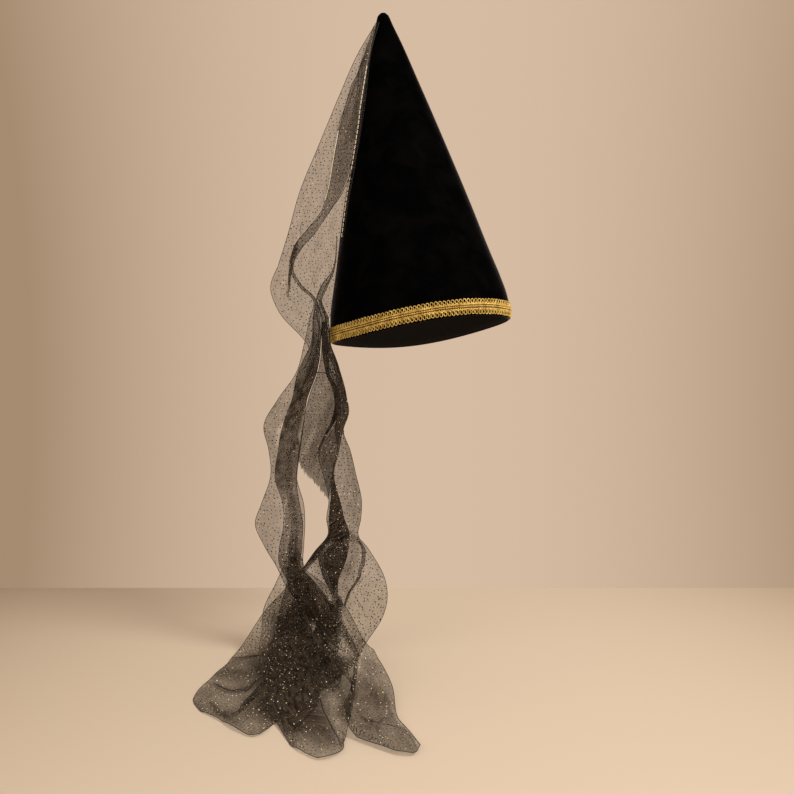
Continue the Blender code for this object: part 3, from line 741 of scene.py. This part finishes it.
def gold_thread(name, light, dark, metallic):
    """Twisted metal thread, brighter and duller in patches: partly uneven metal, partly painted
    highlight and painted shade along its twist.
    """
    made, shader, nodes, links = shader_of(name, light, 0.38, metallic)
    where = nodes.new("ShaderNodeTexCoord").outputs["Object"]
    twist = noise_of(nodes, links, 1400.0, 2.0, where)
    patches = noise_of(nodes, links, 160.0, 2.0, where)
    # painted highlight and painted shade: twist and patches mix the thread's light and dark tones
    both = worked(nodes, links, "ADD", twist, patches)
    bright = map_range(nodes, links, both, 0.75, 1.3, 0.0, 1.0)
    links.new(mixed(nodes, links, bright, dark, light), shader.inputs["Base Color"])
    links.new(map_range(nodes, links, twist, 0.3, 0.7, 0.30, 0.52), shader.inputs["Roughness"])
    bumped(nodes, links, shader, twist, 0.5, 0.0003)
    return made


def tulle():
    """Fine net: threads of a millimetre mesh, closer together in the folds, over a colour with painted
    crease shade and light.
    """
    made, shader, nodes, links = shader_of("tulle", (0.042, 0.025, 0.014), 0.7)
    where = nodes.new("ShaderNodeUVMap")
    where.uv_map = "cloth"
    cells = nodes.new("ShaderNodeTexVoronoi")
    cells.voronoi_dimensions = "2D"
    cells.feature = "DISTANCE_TO_EDGE"
    cells.inputs["Scale"].default_value = 800.0
    cells.inputs["Randomness"].default_value = 0.45
    links.new(where.outputs["UV"], cells.inputs["Vector"])
    threads = map_range(nodes, links, cells.outputs["Distance"], 0.03, 0.16, NET_THREAD, NET_HOLE)
    # painted creases run along the cloth: painted shade in their valleys and painted light on their
    # crests
    along = nodes.new("ShaderNodeMapping")
    along.inputs["Scale"].default_value = CREASES_PER_METRE
    links.new(where.outputs["UV"], along.inputs["Vector"])
    creases = noise_of(nodes, links, 1.0, 5.0, along.outputs["Vector"], 0.3)
    crease_shade_and_light = map_range(nodes, links, creases, 0.40, 0.62, 0.0, 1.0)
    links.new(
        mixed(nodes, links, crease_shade_and_light, (0.017, 0.011, 0.0075), (0.085, 0.062, 0.042)),
        shader.inputs["Base Color"],
    )
    fold = nodes.new("ShaderNodeAttribute")
    fold.attribute_name = "fold"
    total = worked(nodes, links, "ADD", threads, fold.outputs["Fac"], clamp=True)
    links.new(worked(nodes, links, "MINIMUM", total, NET_MOST), shader.inputs["Alpha"])
    shader.inputs["Specular IOR Level"].default_value = 0.06
    return made


VELVET = velvet()
INSIDE = plain_cloth()
GOLD = gold_thread("gold_cord", (1.0, 0.74, 0.21), (0.42, 0.24, 0.03), 0.35)
# the tape is nearly black: the velvet seen between the loops, and painted shade in the gaps between the
# cords
GOLD_DARK = gold_thread("gold_tape", (0.16, 0.085, 0.012), (0.06, 0.03, 0.005), 0.2)
# pale: the real stitches of the stitched edge, and the painted highlight on the fold edge
PALE_STITCH_AND_HIGHLIGHT = shader_of("pale_stitch_and_painted_highlight", (0.78, 0.68, 0.54), 0.6)[0]
TULLE = tulle()
HEM = shader_of("tulle_edge", (0.016, 0.013, 0.011), 0.7)[0]
FLOCK = shader_of("flocked_dot", (0.010, 0.008, 0.007), 0.9)[0]
GLITTER_LOOKS = (
    shader_of("glitter_gold", (0.98, 0.76, 0.40), 0.45, 0.15)[0],
    shader_of("glitter_silver", (0.98, 0.95, 0.88), 0.45, 0.05)[0],
)


# Crown

def rim_lift(angle):
    """The rim's wave, as a height at an angle from the front."""
    return sum(lift * np.cos(k * angle) for k, lift in enumerate(RIM_WAVE))


PROFILE = np.array(CROWN_PROFILE)
PROFILE_KEYS = np.concatenate(
    [[0.0], np.cumsum(np.linalg.norm(np.diff(PROFILE[:, :2], axis=0), axis=1))]
)
PROFILE_RUN = np.linspace(0, PROFILE_KEYS[-1], PROFILE_STEPS)
PROFILE_FINE = smooth_through(PROFILE_KEYS, PROFILE, PROFILE_RUN)


def on_crown(angle, height, out):
    """Places over the rim's plane at these heights, this far out from the velvet."""
    angle, height, out = np.broadcast_arrays(
        np.asarray(angle, float), np.asarray(height, float), np.asarray(out, float)
    )
    lift = rim_lift(angle) * np.clip(1.0 - height / TIP_HEIGHT, 0.0, 1.0)
    front = np.interp(TIP_HEIGHT - height, PROFILE_FINE[:, 0], PROFILE_FINE[:, 1])
    side = np.interp(TIP_HEIGHT - height, PROFILE_FINE[:, 0], PROFILE_FINE[:, 2])
    x = (front + out) * np.cos(angle)
    y = (side + out) * np.sin(angle)
    z = height + lift
    return np.stack([
        x * np.cos(TILT) - z * np.sin(TILT),
        y,
        x * np.sin(TILT) + z * np.cos(TILT),
    ], axis=-1)


def wobble(angles, height):
    """How far the hand-stretched velvet is out of true, all round at one height."""
    if height <= STILL_BELOW:
        return 0.0 * angles
    fade = min(1.0, (TIP_HEIGHT - height) / WOBBLE_FADE)
    return sum(
        size * np.sin(waves * angles + height * slant + start) * fade
        for size, waves, slant, start in WOBBLES
    )


def crown():
    """The cone: velvet over its folded edge, then the plain inside up to its roof."""
    angles = np.linspace(0.0, 2 * np.pi, CROWN_AROUND, endpoint=False)
    along = np.linspace(0.0, 1.0, CROWN_DOWN)[1:] ** CROWN_CROWDING
    depths = np.interp(along * PROFILE_KEYS[-1], PROFILE_RUN, PROFILE_FINE[:, 0])
    heights = TIP_HEIGHT - depths
    inner = [h for h in heights[::-1] if h < TIP_HEIGHT - INNER_DEPTH][::3]
    rings = [on_crown(angles, h, wobble(angles, h)) for h in heights]
    rings += [on_crown(angles, drop, back) for drop, back in FOLDED_EDGE]
    rings += [on_crown(angles, h + 0.1, -CROWN_WALL) for h in inner]
    points = np.array(rings)
    n, m = points.shape[:2]
    faces = grid_faces(n, m, closed_m=True)
    kinds = [0 if i // m < len(heights) + len(FOLDED_EDGE) else 1 for i in range(len(faces))]
    tip = on_crown(0.0, TIP_HEIGHT, 0.0)
    roof = np.array([-np.sin(TILT), 0.0, np.cos(TILT)]) * (TIP_HEIGHT - ROOF_DEPTH)
    points = np.concatenate([points.reshape(-1, 3), [tip, roof]])
    for k in range(m):
        after = (k + 1) % m
        faces.append([k, after, len(points) - 2])
        faces.append([(n - 1) * m + after, (n - 1) * m + k, len(points) - 1])
        kinds += [0, 1]
    faces = [face[::-1] for face in faces]
    made = add_mesh("velvet_crown", points, faces, [VELVET, INSIDE], face_materials=kinds)
    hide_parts("crown")


# Braid

def around_rim(count):
    """Angles an equal length apart round the rim."""
    fine = np.linspace(0.0, 2 * np.pi, 4001)
    line = on_crown(fine, 8.0, 1.0)
    run = np.concatenate([[0.0], np.cumsum(np.linalg.norm(np.diff(line, axis=0), axis=1))])
    return np.interp(np.linspace(0.0, run[-1], count, endpoint=False), run, fine), run[-1]


def braid():
    """Rows of loops, lacings and straight cords over a woven tape, coloured nearly black: the velvet
    seen between the loops, and painted shade in the gaps between the cords.
    """
    heap = Heap()
    count = LOOPS_AROUND * POINTS_PER_LOOP
    angles, length = around_rim(count)
    phase = np.arange(count) * 2 * np.pi / POINTS_PER_LOOP
    for middle, half, wide, out, radius, way in LOOP_ROWS:
        # the cord runs forward along the band and turns back on itself at each loop
        uneven = 1.0 + 0.06 * np.sin(angles * 17.0 + middle) + 0.05 * np.sin(angles * 41.0)
        turn = angles + wide * np.sin(phase) / length * 2 * np.pi
        height = middle - way * half * uneven * np.cos(phase)
        reach = out + 0.34 * np.sin(phase)
        heap.add_tube(on_crown(turn, height, reach), radius, 6, True)
    for middle, half, out, radius in LACINGS:
        height = middle + half * np.sin(2 * phase + middle)
        heap.add_tube(on_crown(angles, height, out + 0.2 * np.cos(2 * phase)), radius, 4, True)
    steps = BEADS_AROUND * POINTS_PER_BEAD
    fine = np.arange(steps) / steps * 2 * np.pi
    beads = np.sin(fine * BEADS_AROUND)
    for height, out, radius in STRAIGHT_CORDS:
        wave = height + 0.32 * beads + 0.12 * np.sin(fine * 11.0)
        path = on_crown(fine, wave, out + 0.2 * np.cos(fine * BEADS_AROUND))
        heap.add_tube(path, radius * (0.9 + 0.32 * beads), 5, True)
    cords = heap.piece("gimp_cords", GOLD)
    turn = np.linspace(0.0, 2 * np.pi, TAPE_AROUND, endpoint=False)
    ring = np.array([on_crown(turn, height, out) for height, out in TAPE])
    faces = grid_faces(ring.shape[0], ring.shape[1], closed_n=True, closed_m=True)
    tape = add_mesh("gimp_tape", ring, faces, [GOLD_DARK])
    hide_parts("rim_braid")


# Veil

def veil_grid(sections, rows, per_fold):
    """The middle of the cloth as an even grid of places, down by across."""
    sections = np.array(sections, float)
    middles = sections.mean(axis=1)
    steps = np.linalg.norm(np.diff(middles, axis=0), axis=1)
    down = np.concatenate([[0.0], np.cumsum(steps)])
    grid = smooth_through(down, sections, np.linspace(0.0, down[-1], rows))
    folds = sections.shape[1] - 1
    at = np.linspace(0.0, folds, folds * per_fold + 1)
    grid = smooth_through(np.arange(folds + 1), grid.transpose(1, 0, 2), at)
    return grid.transpose(1, 0, 2)


def above_floor(grid):
    """The same places, none lower than the floor lets the cloth lie."""
    grid[..., 2] = np.maximum(grid[..., 2], VEIL_LOWEST)
    return grid


def seen_at(shown, spot, folds, span):
    """The way down in thousandths, and the place across in folds, that shows at a spot."""
    rows = len(shown) - 1
    top, low = (int(share / 1000 * rows) for share in span)
    left, right = (int(round(fold * FINDING_PER_FOLD)) for fold in folds)
    away = ((shown[top:low + 1, left:right + 1] - spot) ** 2).sum(axis=-1)
    i, j = (int(k) for k in np.unravel_index(away.argmin(), away.shape))
    return (i + top) / rows * 1000, (j + left) / FINDING_PER_FOLD


def line_at(shown, spots, folds, span):
    """A line given by spots on the photo, as it lies on a length of veil."""
    found = [seen_at(shown, spot, folds, span) for spot in spots]
    return [(round(down), round(across, 2)) for down, across in found]


def pleat_at(shown, edges, folds, span):
    """A pleat given by its edges on the photo: way down, middle and half width."""
    rows = []
    for left, right, down in edges:
        first = seen_at(shown, (left, down), folds, span)
        second = seen_at(shown, (right, down), folds, span)
        half = abs(second[1] - first[1]) / 2
        rows.append([(first[0] + second[0]) / 2, (first[1] + second[1]) / 2, half])
    rows.sort()
    start, end = rows[0], rows[-1]
    rows = [[start[0] - PLEAT_TAPER, start[1], 0.0], *rows, [end[0] + PLEAT_TAPER, end[1], 0.0]]
    return [(round(down), round(middle, 2), round(half, 2)) for down, middle, half in rows]


def lines_on(name, sections):
    """The pleats, creases and strokes of one length of veil, in its own measures."""
    shown = on_photo(above_floor(veil_grid(sections, FINDING_ROWS, FINDING_PER_FOLD)))
    pleats = [pleat_at(shown, edges, *look) for *look, edges in PLEATS_SEEN[name]]
    creases = [(radius, line_at(shown, spots, *look)) for *look, radius, spots in CREASES[name]]
    strokes = [
        (reach, change, line_at(shown, spots, *look))
        for *look, reach, change, spots in STROKES[name]
    ]
    return pleats + list(PLEATS_SET[name]), creases, strokes


def normals_of(grid):
    """The way that the cloth faces at each place."""
    normal = np.cross(np.gradient(grid, axis=1), np.gradient(grid, axis=0))
    return normal / np.maximum(np.linalg.norm(normal, axis=2, keepdims=True), 1e-9)


def lengths_of(grid):
    """Lengths along the cloth: across from its left edge, and down from its top."""
    across = np.linalg.norm(np.diff(grid, axis=1), axis=2)
    across = np.concatenate([np.zeros((len(grid), 1)), np.cumsum(across, axis=1)], axis=1)
    down = np.linalg.norm(np.diff(grid, axis=0), axis=2).mean(axis=1)
    down = np.concatenate([[0.0], np.cumsum(down)])
    return across, np.repeat(down[:, None], grid.shape[1], axis=1)


def wrinkled(grid, size, seed):
    """Soft creases down the cloth, and how much they close the net up."""
    across, down = lengths_of(grid)
    width = np.maximum(across[:, -1:], 1.0)
    normal = normals_of(grid)
    reach = np.clip(width / 60.0, 0.15, 1.0) * size
    drift = 7.0 * np.sin(down / 83.0 + seed) + 4.0 * np.sin(down / 37.0 + 2.1 * seed)
    soft = np.sin((across + drift) / 6.3 + seed) * 0.55
    soft += np.sin((across - 1.7 * drift) / 3.4 + down / 61.0) * 0.25
    rough = np.empty(across.shape)
    for i in range(across.shape[0]):
        for j in range(across.shape[1]):
            rough[i, j] = noise.noise(
                Vector((across[i, j] / 17.0, down[i, j] / 34.0, seed * 3.7))
            )
    patches = np.clip(0.5 + 1.6 * rough, 0.0, 1.0)
    shift = (soft * patches + rough * 1.3) * reach
    made = grid + normal * shift[..., None]
    lean = np.abs(np.sum(normals_of(made) * normal, axis=2))
    return made, np.clip(0.5 * (1.0 / np.maximum(lean, 0.35) - 1.0), 0.0, 0.22)


def pleated(rows, columns, folds, pleats):
    """Each column's place across the length, in folds, its layer and its fold edge."""
    place = np.empty((rows, columns))
    layer = np.zeros((rows, columns))
    shares = np.linspace(0.0, 1000.0, rows)
    tables = [np.array(one, float) for one in pleats]
    for i, share in enumerate(shares):
        now = []
        for one in tables:
            half = np.interp(share, one[:, 0], one[:, 2], left=0.0, right=0.0)
            if half > 0.006:
                now.append((float(np.interp(share, one[:, 0], one[:, 1])), float(half)))
        cloth, across, lift = [0.0], [0.0], [0.0]
        for middle, half in sorted(now):
            low = max(middle - half, across[-1] + 0.001)
            high = min(middle + half, folds - 0.001)
            w = high - low
            if w < 0.004:
                continue
            start = cloth[-1] + low - across[-1]
            cloth += [start + w * k for k in (0.0, 0.3, 1.0, 1.06, 2.0, 2.06, 2.7, 3.0)]
            across += [low + w * k for k in (0.0, 0.3, 1.0, 0.94, 0.0, 0.06, 0.7, 1.0)]
            lift += [0.0, -1.0, -1.0, 0.0, 0.0, 1.0, 1.0, 0.0]
        cloth.append(cloth[-1] + folds - across[-1])
        across.append(folds)
        lift.append(0.0)
        at = np.linspace(0.0, cloth[-1], columns)
        place[i] = np.interp(at, cloth, across)
        layer[i] = np.interp(at, cloth, lift)
    return place, layer


def read_at(field, i, place):
    """A field of the even grid, read along its rows at places across in folds."""
    at = np.clip(np.asarray(place) * PER_FOLD, 0, field.shape[1] - 1.001)
    j = at.astype(int)
    share = at - j
    if field.ndim == 3:
        share = share[..., None]
    return field[i, j] * (1 - share) + field[i, j + 1] * share


def on_length(base, line):
    """Places and marks along a smooth line given down and across a length of veil."""
    line = np.array(line, float)
    many = np.linspace(0, len(line) - 1, 12 * len(line))
    fine = smooth_through(np.arange(len(line)), line, many)
    i = np.clip(fine[:, 0] / 1000.0 * (len(base) - 1), 0, len(base) - 1.001)
    i0 = i.astype(int)
    share = (i - i0)[:, None]
    path = read_at(base, i0, fine[:, 1]) * (1 - share)
    return path + read_at(base, i0 + 1, fine[:, 1]) * share, many


def blotches(shape, seed):
    """Soft uneven patches over a whole length."""
    local = np.random.default_rng(seed + 40)
    coarse = local.normal(0.0, 1.0, (shape[0] // BLOTCH_DOWN + 2, shape[1] // BLOTCH_ACROSS + 2))
    i = np.arange(shape[0]) / BLOTCH_DOWN
    j = np.arange(shape[1]) / BLOTCH_ACROSS
    i0, j0 = i.astype(int)[:, None], j.astype(int)[None, :]
    fi, fj = (i % 1.0)[:, None], (j % 1.0)[None, :]
    fi, fj = fi * fi * (3 - 2 * fi), fj * fj * (3 - 2 * fj)
    above = coarse[i0, j0] * (1 - fj) + coarse[i0, j0 + 1] * fj
    below = coarse[i0 + 1, j0] * (1 - fj) + coarse[i0 + 1, j0 + 1] * fj
    return np.clip(above * (1 - fi) + below * fi, -1.8, 1.8)


def stroked(base, strokes):
    """How much the net closes up around each stroke: partly denser net, partly painted shade by the
    folds.
    """
    total = np.zeros(base.shape[:2])
    flat = base.reshape(-1, 3)
    for reach, change, line in strokes:
        path, _ = on_length(base, line)
        weight = np.array([1.0, 0.25 if path[:, 2].mean() > -320.0 else 1.0, 1.0])
        near = np.abs(flat - path.mean(axis=0)).max(axis=1) < 120.0
        gaps = (flat[near][:, None] - path[None, ::2]) * weight
        d = np.sqrt((gaps**2).sum(axis=2).min(axis=1))
        total.ravel()[near] += change * np.exp(-((d / reach) ** 2))
    return total


def edge_lines(base, normal, pleats, creases, shown):
    """Cords that mark fold edges and creases: their paths and radii."""
    folds = base.shape[1] // PER_FOLD
    shares = np.linspace(0.0, 1000.0, len(base))
    found = []
    for one in pleats:
        one = np.array(one, float)
        inside = np.where((shares > one[0, 0]) & (shares < one[-1, 0]))[0]
        if len(inside) < 4:
            continue
        half = np.interp(shares[inside], one[:, 0], one[:, 2])
        middle = np.interp(shares[inside], one[:, 0], one[:, 1])
        for side in (-1.0, 1.0):
            place = np.clip(middle + side * half, 0.0, folds)
            path = read_at(base, inside, place)
            path = path - side * 0.25 * PLY * read_at(normal, inside, place)
            found.append((path, np.clip(half / 0.05, 0.15, 1.0) * FOLD_CORD))
    for k in range(1, folds):
        before = base[:, k * PER_FOLD] - base[:, (k - 1) * PER_FOLD]
        after = base[:, (k + 1) * PER_FOLD] - base[:, k * PER_FOLD]
        size = np.linalg.norm(before, axis=1) * np.linalg.norm(after, axis=1)
        turn = -np.sum(before * after, axis=1) / np.maximum(size, 1e-6)
        radius = np.clip((turn - 0.1) / 0.5, 0.04, 1.0) * FOLD_CORD
        found.append((base[:, k * PER_FOLD], radius * shown))
    for radius, line in creases:
        path, many = on_length(base, line)
        path = path + np.array([0.0, -0.5, 0.3])
        taper = np.clip(np.minimum(many, many[-1] - many) / 0.8, 0.1, 1.0)
        found.append((path, radius * taper))
    return found


def spots(grid, spacing, share, seed):
    """Places spread over the cloth with the way that it faces there."""
    across, down = lengths_of(grid)
    normal = normals_of(grid)
    local = np.random.default_rng(seed)
    n, m = across.shape
    rows = int(down[-1, 0] / spacing)
    columns = int(across[:, -1].max() / spacing) + 2
    r, c = np.meshgrid(np.arange(1, rows), np.arange(columns), indexing="ij")
    shake = local.uniform(-0.3, 0.3, (2, *r.shape))
    at_down = ((r + shake[0]) * spacing).ravel()
    at_across = ((c + 0.5 * (r % 2) + shake[1]) * spacing).ravel()
    i = np.interp(at_down, down[:, 0], np.arange(n))
    i0 = np.clip(i.astype(int), 0, n - 2)
    keep = (at_across > 0.9) & (at_across < across[i0, -1] - 0.9)
    i, i0, at_across = i[keep], i0[keep], at_across[keep]
    j0 = np.array([np.searchsorted(across[k], x) for k, x in zip(i0, at_across)])
    j0 = np.clip(j0 - 1, 0, m - 2)
    keep = local.random(len(i)) < share[i0, j0]
    i, i0, at_across, j0 = i[keep], i0[keep], at_across[keep], j0[keep]
    run = np.maximum(across[i0, j0 + 1] - across[i0, j0], 1e-6)
    t = np.clip((at_across - across[i0, j0]) / run, 0.0, 1.0)[:, None]
    d = (i - i0)[:, None]
    upper = grid[i0, j0] * (1 - t) + grid[i0, j0 + 1] * t
    lower = grid[i0 + 1, j0] * (1 - t) + grid[i0 + 1, j0 + 1] * t
    return upper * (1 - d) + lower * d, normal[i0, j0]


def flakes(name, centres, ways, radius, lift, tilt, look, sides, seed):
    """Small flat shapes lying on the cloth."""
    local = np.random.default_rng(seed)
    n = len(centres)
    ways = ways + local.normal(0.0, tilt, (n, 3))
    ways /= np.linalg.norm(ways, axis=1, keepdims=True)
    first = np.cross(ways, local.normal(size=(n, 3)))
    first /= np.linalg.norm(first, axis=1, keepdims=True)
    second = np.cross(ways, first)
    turn = np.linspace(0.0, 2 * np.pi, sides, endpoint=False)
    size = radius * local.uniform(0.8, 1.2, n)
    ring = (
        centres[:, None]
        + ways[:, None] * lift
        + first[:, None] * (np.cos(turn)[None, :, None] * size[:, None, None])
        + second[:, None] * (np.sin(turn)[None, :, None] * size[:, None, None])
    )
    faces = (np.arange(n)[:, None] * sides + np.arange(sides)[None]).tolist()
    return add_mesh(name, ring, faces, [look])


def veil_edges(name, grid, base, normal, pleats, creases, shown):
    """Rolled edges, fold edges and creases of a length, as one piece of fine cords."""
    edges = Heap()
    ends = [grid[:, 0], grid[:, -1], grid[-1]]
    if name == FRAYED:
        ends = ends[:2]
    for line in ends:
        edges.add_tube(line, HEM_CORD * (shown if len(line) == len(grid) else 1.0), 5)
    for path, radius in edge_lines(base, normal, pleats, creases, shown):
        edges.add_tube(turned(path), radius, 4)
    return edges.piece(name + "_hem", HEM)


def veil_spots(name, grid, kept, seed):
    """Flocked dots, and glitter on both sides of the net."""
    start = seed * 11
    centres, ways = spots(grid, DOT_SPACING[name], kept, start + 1)
    pieces = [flakes(name + "_dots", centres, ways, DOT_RADIUS, DOT_LIFT, DOT_TILT, FLOCK, 6,
                     start + 2)]
    for look, (spacing, share, radius, more) in zip(GLITTER_LOOKS, GLITTER):
        centres, ways = spots(grid, spacing, share * kept, start + more)
        side = np.where(rng.random(len(centres)) < 0.5, -1.0, 1.0)[:, None]
        centres = centres + ways * side * GLITTER_LIFT
        pieces.append(flakes(name + "_" + look.name, centres, ways, radius, 0.0, GLITTER_TILT,
                             look, 5, start + more + 1))
    return pieces


def veil(name, node, sections, rows, columns, size, seed, flat, area, held, rests):
    """One length of dotted tulle."""
    folds = len(sections[0]) - 1
    pleats, creases, strokes = lines_on(name, sections)
    base, close = wrinkled(veil_grid(sections, rows, PER_FOLD), size, seed)
    base = above_floor(base)
    normal = normals_of(base)
    place, layer = pleated(rows, columns, folds, pleats)
    i = np.repeat(np.arange(rows)[:, None], columns, axis=1)
    grid = read_at(base, i, place)
    grid = grid + read_at(normal, i, place) * (layer * PLY)[..., None]
    if name == FRAYED:
        grid = frayed(grid)
    grid = turned(above_floor(grid))
    film = np.array(FILM[name], float)
    shares = np.linspace(0.0, 1000.0, rows)
    change, over, under = (np.interp(shares, film[:, 0], film[:, k]) for k in (1, 2, 3))
    # the strokes darken the cloth: partly denser net, partly painted shade by the folds
    close = close + stroked(base, strokes)
    close = close + change[:, None]
    close = close + blotches(close.shape, seed) * BLOTCH_SHARE
    across, down = lengths_of(grid)
    cloth = add_mesh(name, grid, grid_faces(rows, columns), [TULLE],
                     uv=np.stack([across, down], axis=-1) * MM, fold=read_at(close, i, place))
    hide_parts(node)
    shown = np.clip((change + 0.2) / 0.1, 0.12, 1.0)
    kept = np.where(place > UNDER_FROM, under[:, None], over[:, None])
    kept = kept * np.where(layer == 0.0, 1.0, PLEAT_SPOTS)
    pieces = [veil_edges(name, grid, base, normal, pleats, creases, shown)]
    pieces += veil_spots(name, grid, kept, seed)


def frayed(grid):
    """The cut end's uneven teeth."""
    teeth = np.random.default_rng(5).uniform(-1.0, 1.0, grid.shape[1])
    ahead = grid[-1] - grid[-4]
    ahead /= np.linalg.norm(ahead, axis=1, keepdims=True)
    for back in range(8):
        share = (1.0 - back / 8.0) ** 2
        grid[-1 - back] += ahead * (teeth * 2.4 * share)[:, None]
    return grid


def through(places, count):
    """Many places along a smooth line through a few."""
    keys = np.arange(len(places))
    return turned(smooth_through(keys, np.array(places, float), np.linspace(0, keys[-1], count)))


def veil_trims():
    """The thread caught between the gathered strands, a pale cord painted on a fold edge as its
    highlight, and the pale stitches of the stitched edge.
    """
    strand = Heap()
    strand.add_tube(through(THREAD, 40), THREAD_RADIUS, 6)
    thread = strand.piece("caught_thread", HEM)
    edges = Heap()
    # a painted highlight: a pale cord along the fold edge
    edges.add_tube(through([from_photo(*row) for row in FOLD_HIGHLIGHT_LINE], 60), FOLD_HIGHLIGHT_RADIUS, 5)
    line = through([from_photo(*row) for row in STITCHED_EDGE], 1200)
    along = np.concatenate([[0.0], np.cumsum(np.linalg.norm(np.diff(line, axis=0), axis=1))])
    for start in np.arange(0.0, along[-1] - STITCH_LONG, STITCH_LONG + STITCH_GAP):
        marks = np.linspace(start, start + STITCH_LONG, 5)
        stitch = np.stack([np.interp(marks, along, line[:, k]) for k in range(3)], axis=1)
        edges.add_tube(stitch, STITCH_RADIUS, 5)
    stitches_and_painted_highlight = edges.piece("stitches_and_painted_highlight", PALE_STITCH_AND_HIGHLIGHT)


crown()
braid()
for row in VEILS:
    veil(*row)
veil_trims()


# Floor, lights and camera

def falloff(nodes, links, value, middle, reach):
    """Nought in the middle of the backdrop, rising to one towards its sides."""
    away = worked(nodes, links, "SUBTRACT", value, middle)
    share = worked(nodes, links, "DIVIDE", worked(nodes, links, "ABSOLUTE", away), reach)
    return worked(nodes, links, "POWER", share, BACKDROP_POWER, clamp=True)


def turned_place(nodes, links, socket):
    """The across and depth parts of a place or a direction."""
    spin = nodes.new("ShaderNodeVectorRotate")
    spin.rotation_type = "Z_AXIS"
    spin.inputs["Angle"].default_value = -VEIL_TURN
    links.new(socket, spin.inputs["Vector"])
    parts = nodes.new("ShaderNodeSeparateXYZ")
    links.new(spin.outputs["Vector"], parts.inputs["Vector"])
    return parts


def aimed(thing, way):
    """A lamp or camera turned to look along a direction."""
    thing.rotation_mode = "QUATERNION"
    thing.rotation_quaternion = way.to_track_quat("-Z", "Y")
    bpy.context.scene.collection.objects.link(thing)


def floor():
    """A plain level floor, with a painted pool of light in the middle and painted shade towards its
    sides.
    """
    look, shader, nodes, links = shader_of("floor", (0.66, 0.56, 0.45), 0.85)
    shader.inputs["Specular IOR Level"].default_value = 0.15
    place = nodes.new("ShaderNodeTexCoord").outputs["Object"]
    parts = turned_place(nodes, links, place)
    # painted light: the floor is lighter in the middle, with painted shade towards the sides
    side = falloff(nodes, links, parts.outputs["X"], 0.0, 0.62)
    links.new(
        mixed(nodes, links, side, FLOOR_LIT_MIDDLE, FLOOR_SHADED_SIDE),
        shader.inputs["Base Color"],
    )
    mesh = bpy.data.meshes.new("floor")
    corners = [(x, y, FLOOR) for x, y in FLOOR_CORNERS]
    mesh.from_pydata([tuple(p) for p in (turned(corners) * MM).tolist()], [], [(0, 1, 2, 3)])
    mesh.materials.append(look)
    made = bpy.data.objects.new("floor", mesh)
    bpy.context.scene.collection.objects.link(made)


def area_light(name, place, aim, size, power, colour):
    """A round soft lamp, placed and aimed in the plane the veil hangs in."""
    made = bpy.data.lights.new(name, "AREA")
    made.shape = "DISK"
    made.size = size
    made.energy = power
    made.color = colour
    lamp = bpy.data.objects.new(name, made)
    lamp.location = Vector(turned(place) * MM)
    aimed(lamp, Vector(turned(aim) * MM) - Vector(turned(place) * MM))


def room():
    """The wall behind the hat, and a plain warm room on the other sides."""
    world = bpy.data.worlds.new("room")
    bpy.context.scene.world = world
    world.use_nodes = True
    nodes, links = world.node_tree.nodes, world.node_tree.links
    way = turned_place(nodes, links, nodes.new("ShaderNodeTexCoord").outputs["Generated"])
    side = falloff(nodes, links, way.outputs["X"], 0.04, 0.45)
    both = nodes.new("ShaderNodeMix")
    both.data_type = "RGBA"
    both.inputs["A"].default_value = (*ROOM_LIGHT, 1.0)
    links.new(mixed(nodes, links, side, WALL_MIDDLE, WALL_SIDE), both.inputs["B"])
    behind = map_range(nodes, links, way.outputs["Y"], 0.68, 0.78, 0.0, 1.0)
    links.new(behind, both.inputs["Factor"])
    links.new(both.outputs["Result"], nodes["Background"].inputs["Color"])


def camera():
    """The camera at the photo's angle."""
    data = bpy.data.cameras.new("camera")
    data.lens = CAMERA_LENS
    data.sensor_width = CAMERA_SENSOR
    data.clip_start = 0.01
    made = bpy.data.objects.new("camera", data)
    made.location = Vector(turned(CAMERA_PLACE) * MM)
    aimed(made, Vector(turned((0.0, 1.0, 0.0))))
    bpy.context.scene.camera = made


floor()
area_light("key", (1300, -1000, 1250), (-60, 0, -60), 0.9, 34.0, (1.0, 0.95, 0.88))
area_light("fill", (-1500, -1300, 500), (0, 0, 0), 1.6, 7.0, (1.0, 0.95, 0.9))
room()
camera()
bpy.context.scene.view_settings.view_transform = "Standard"
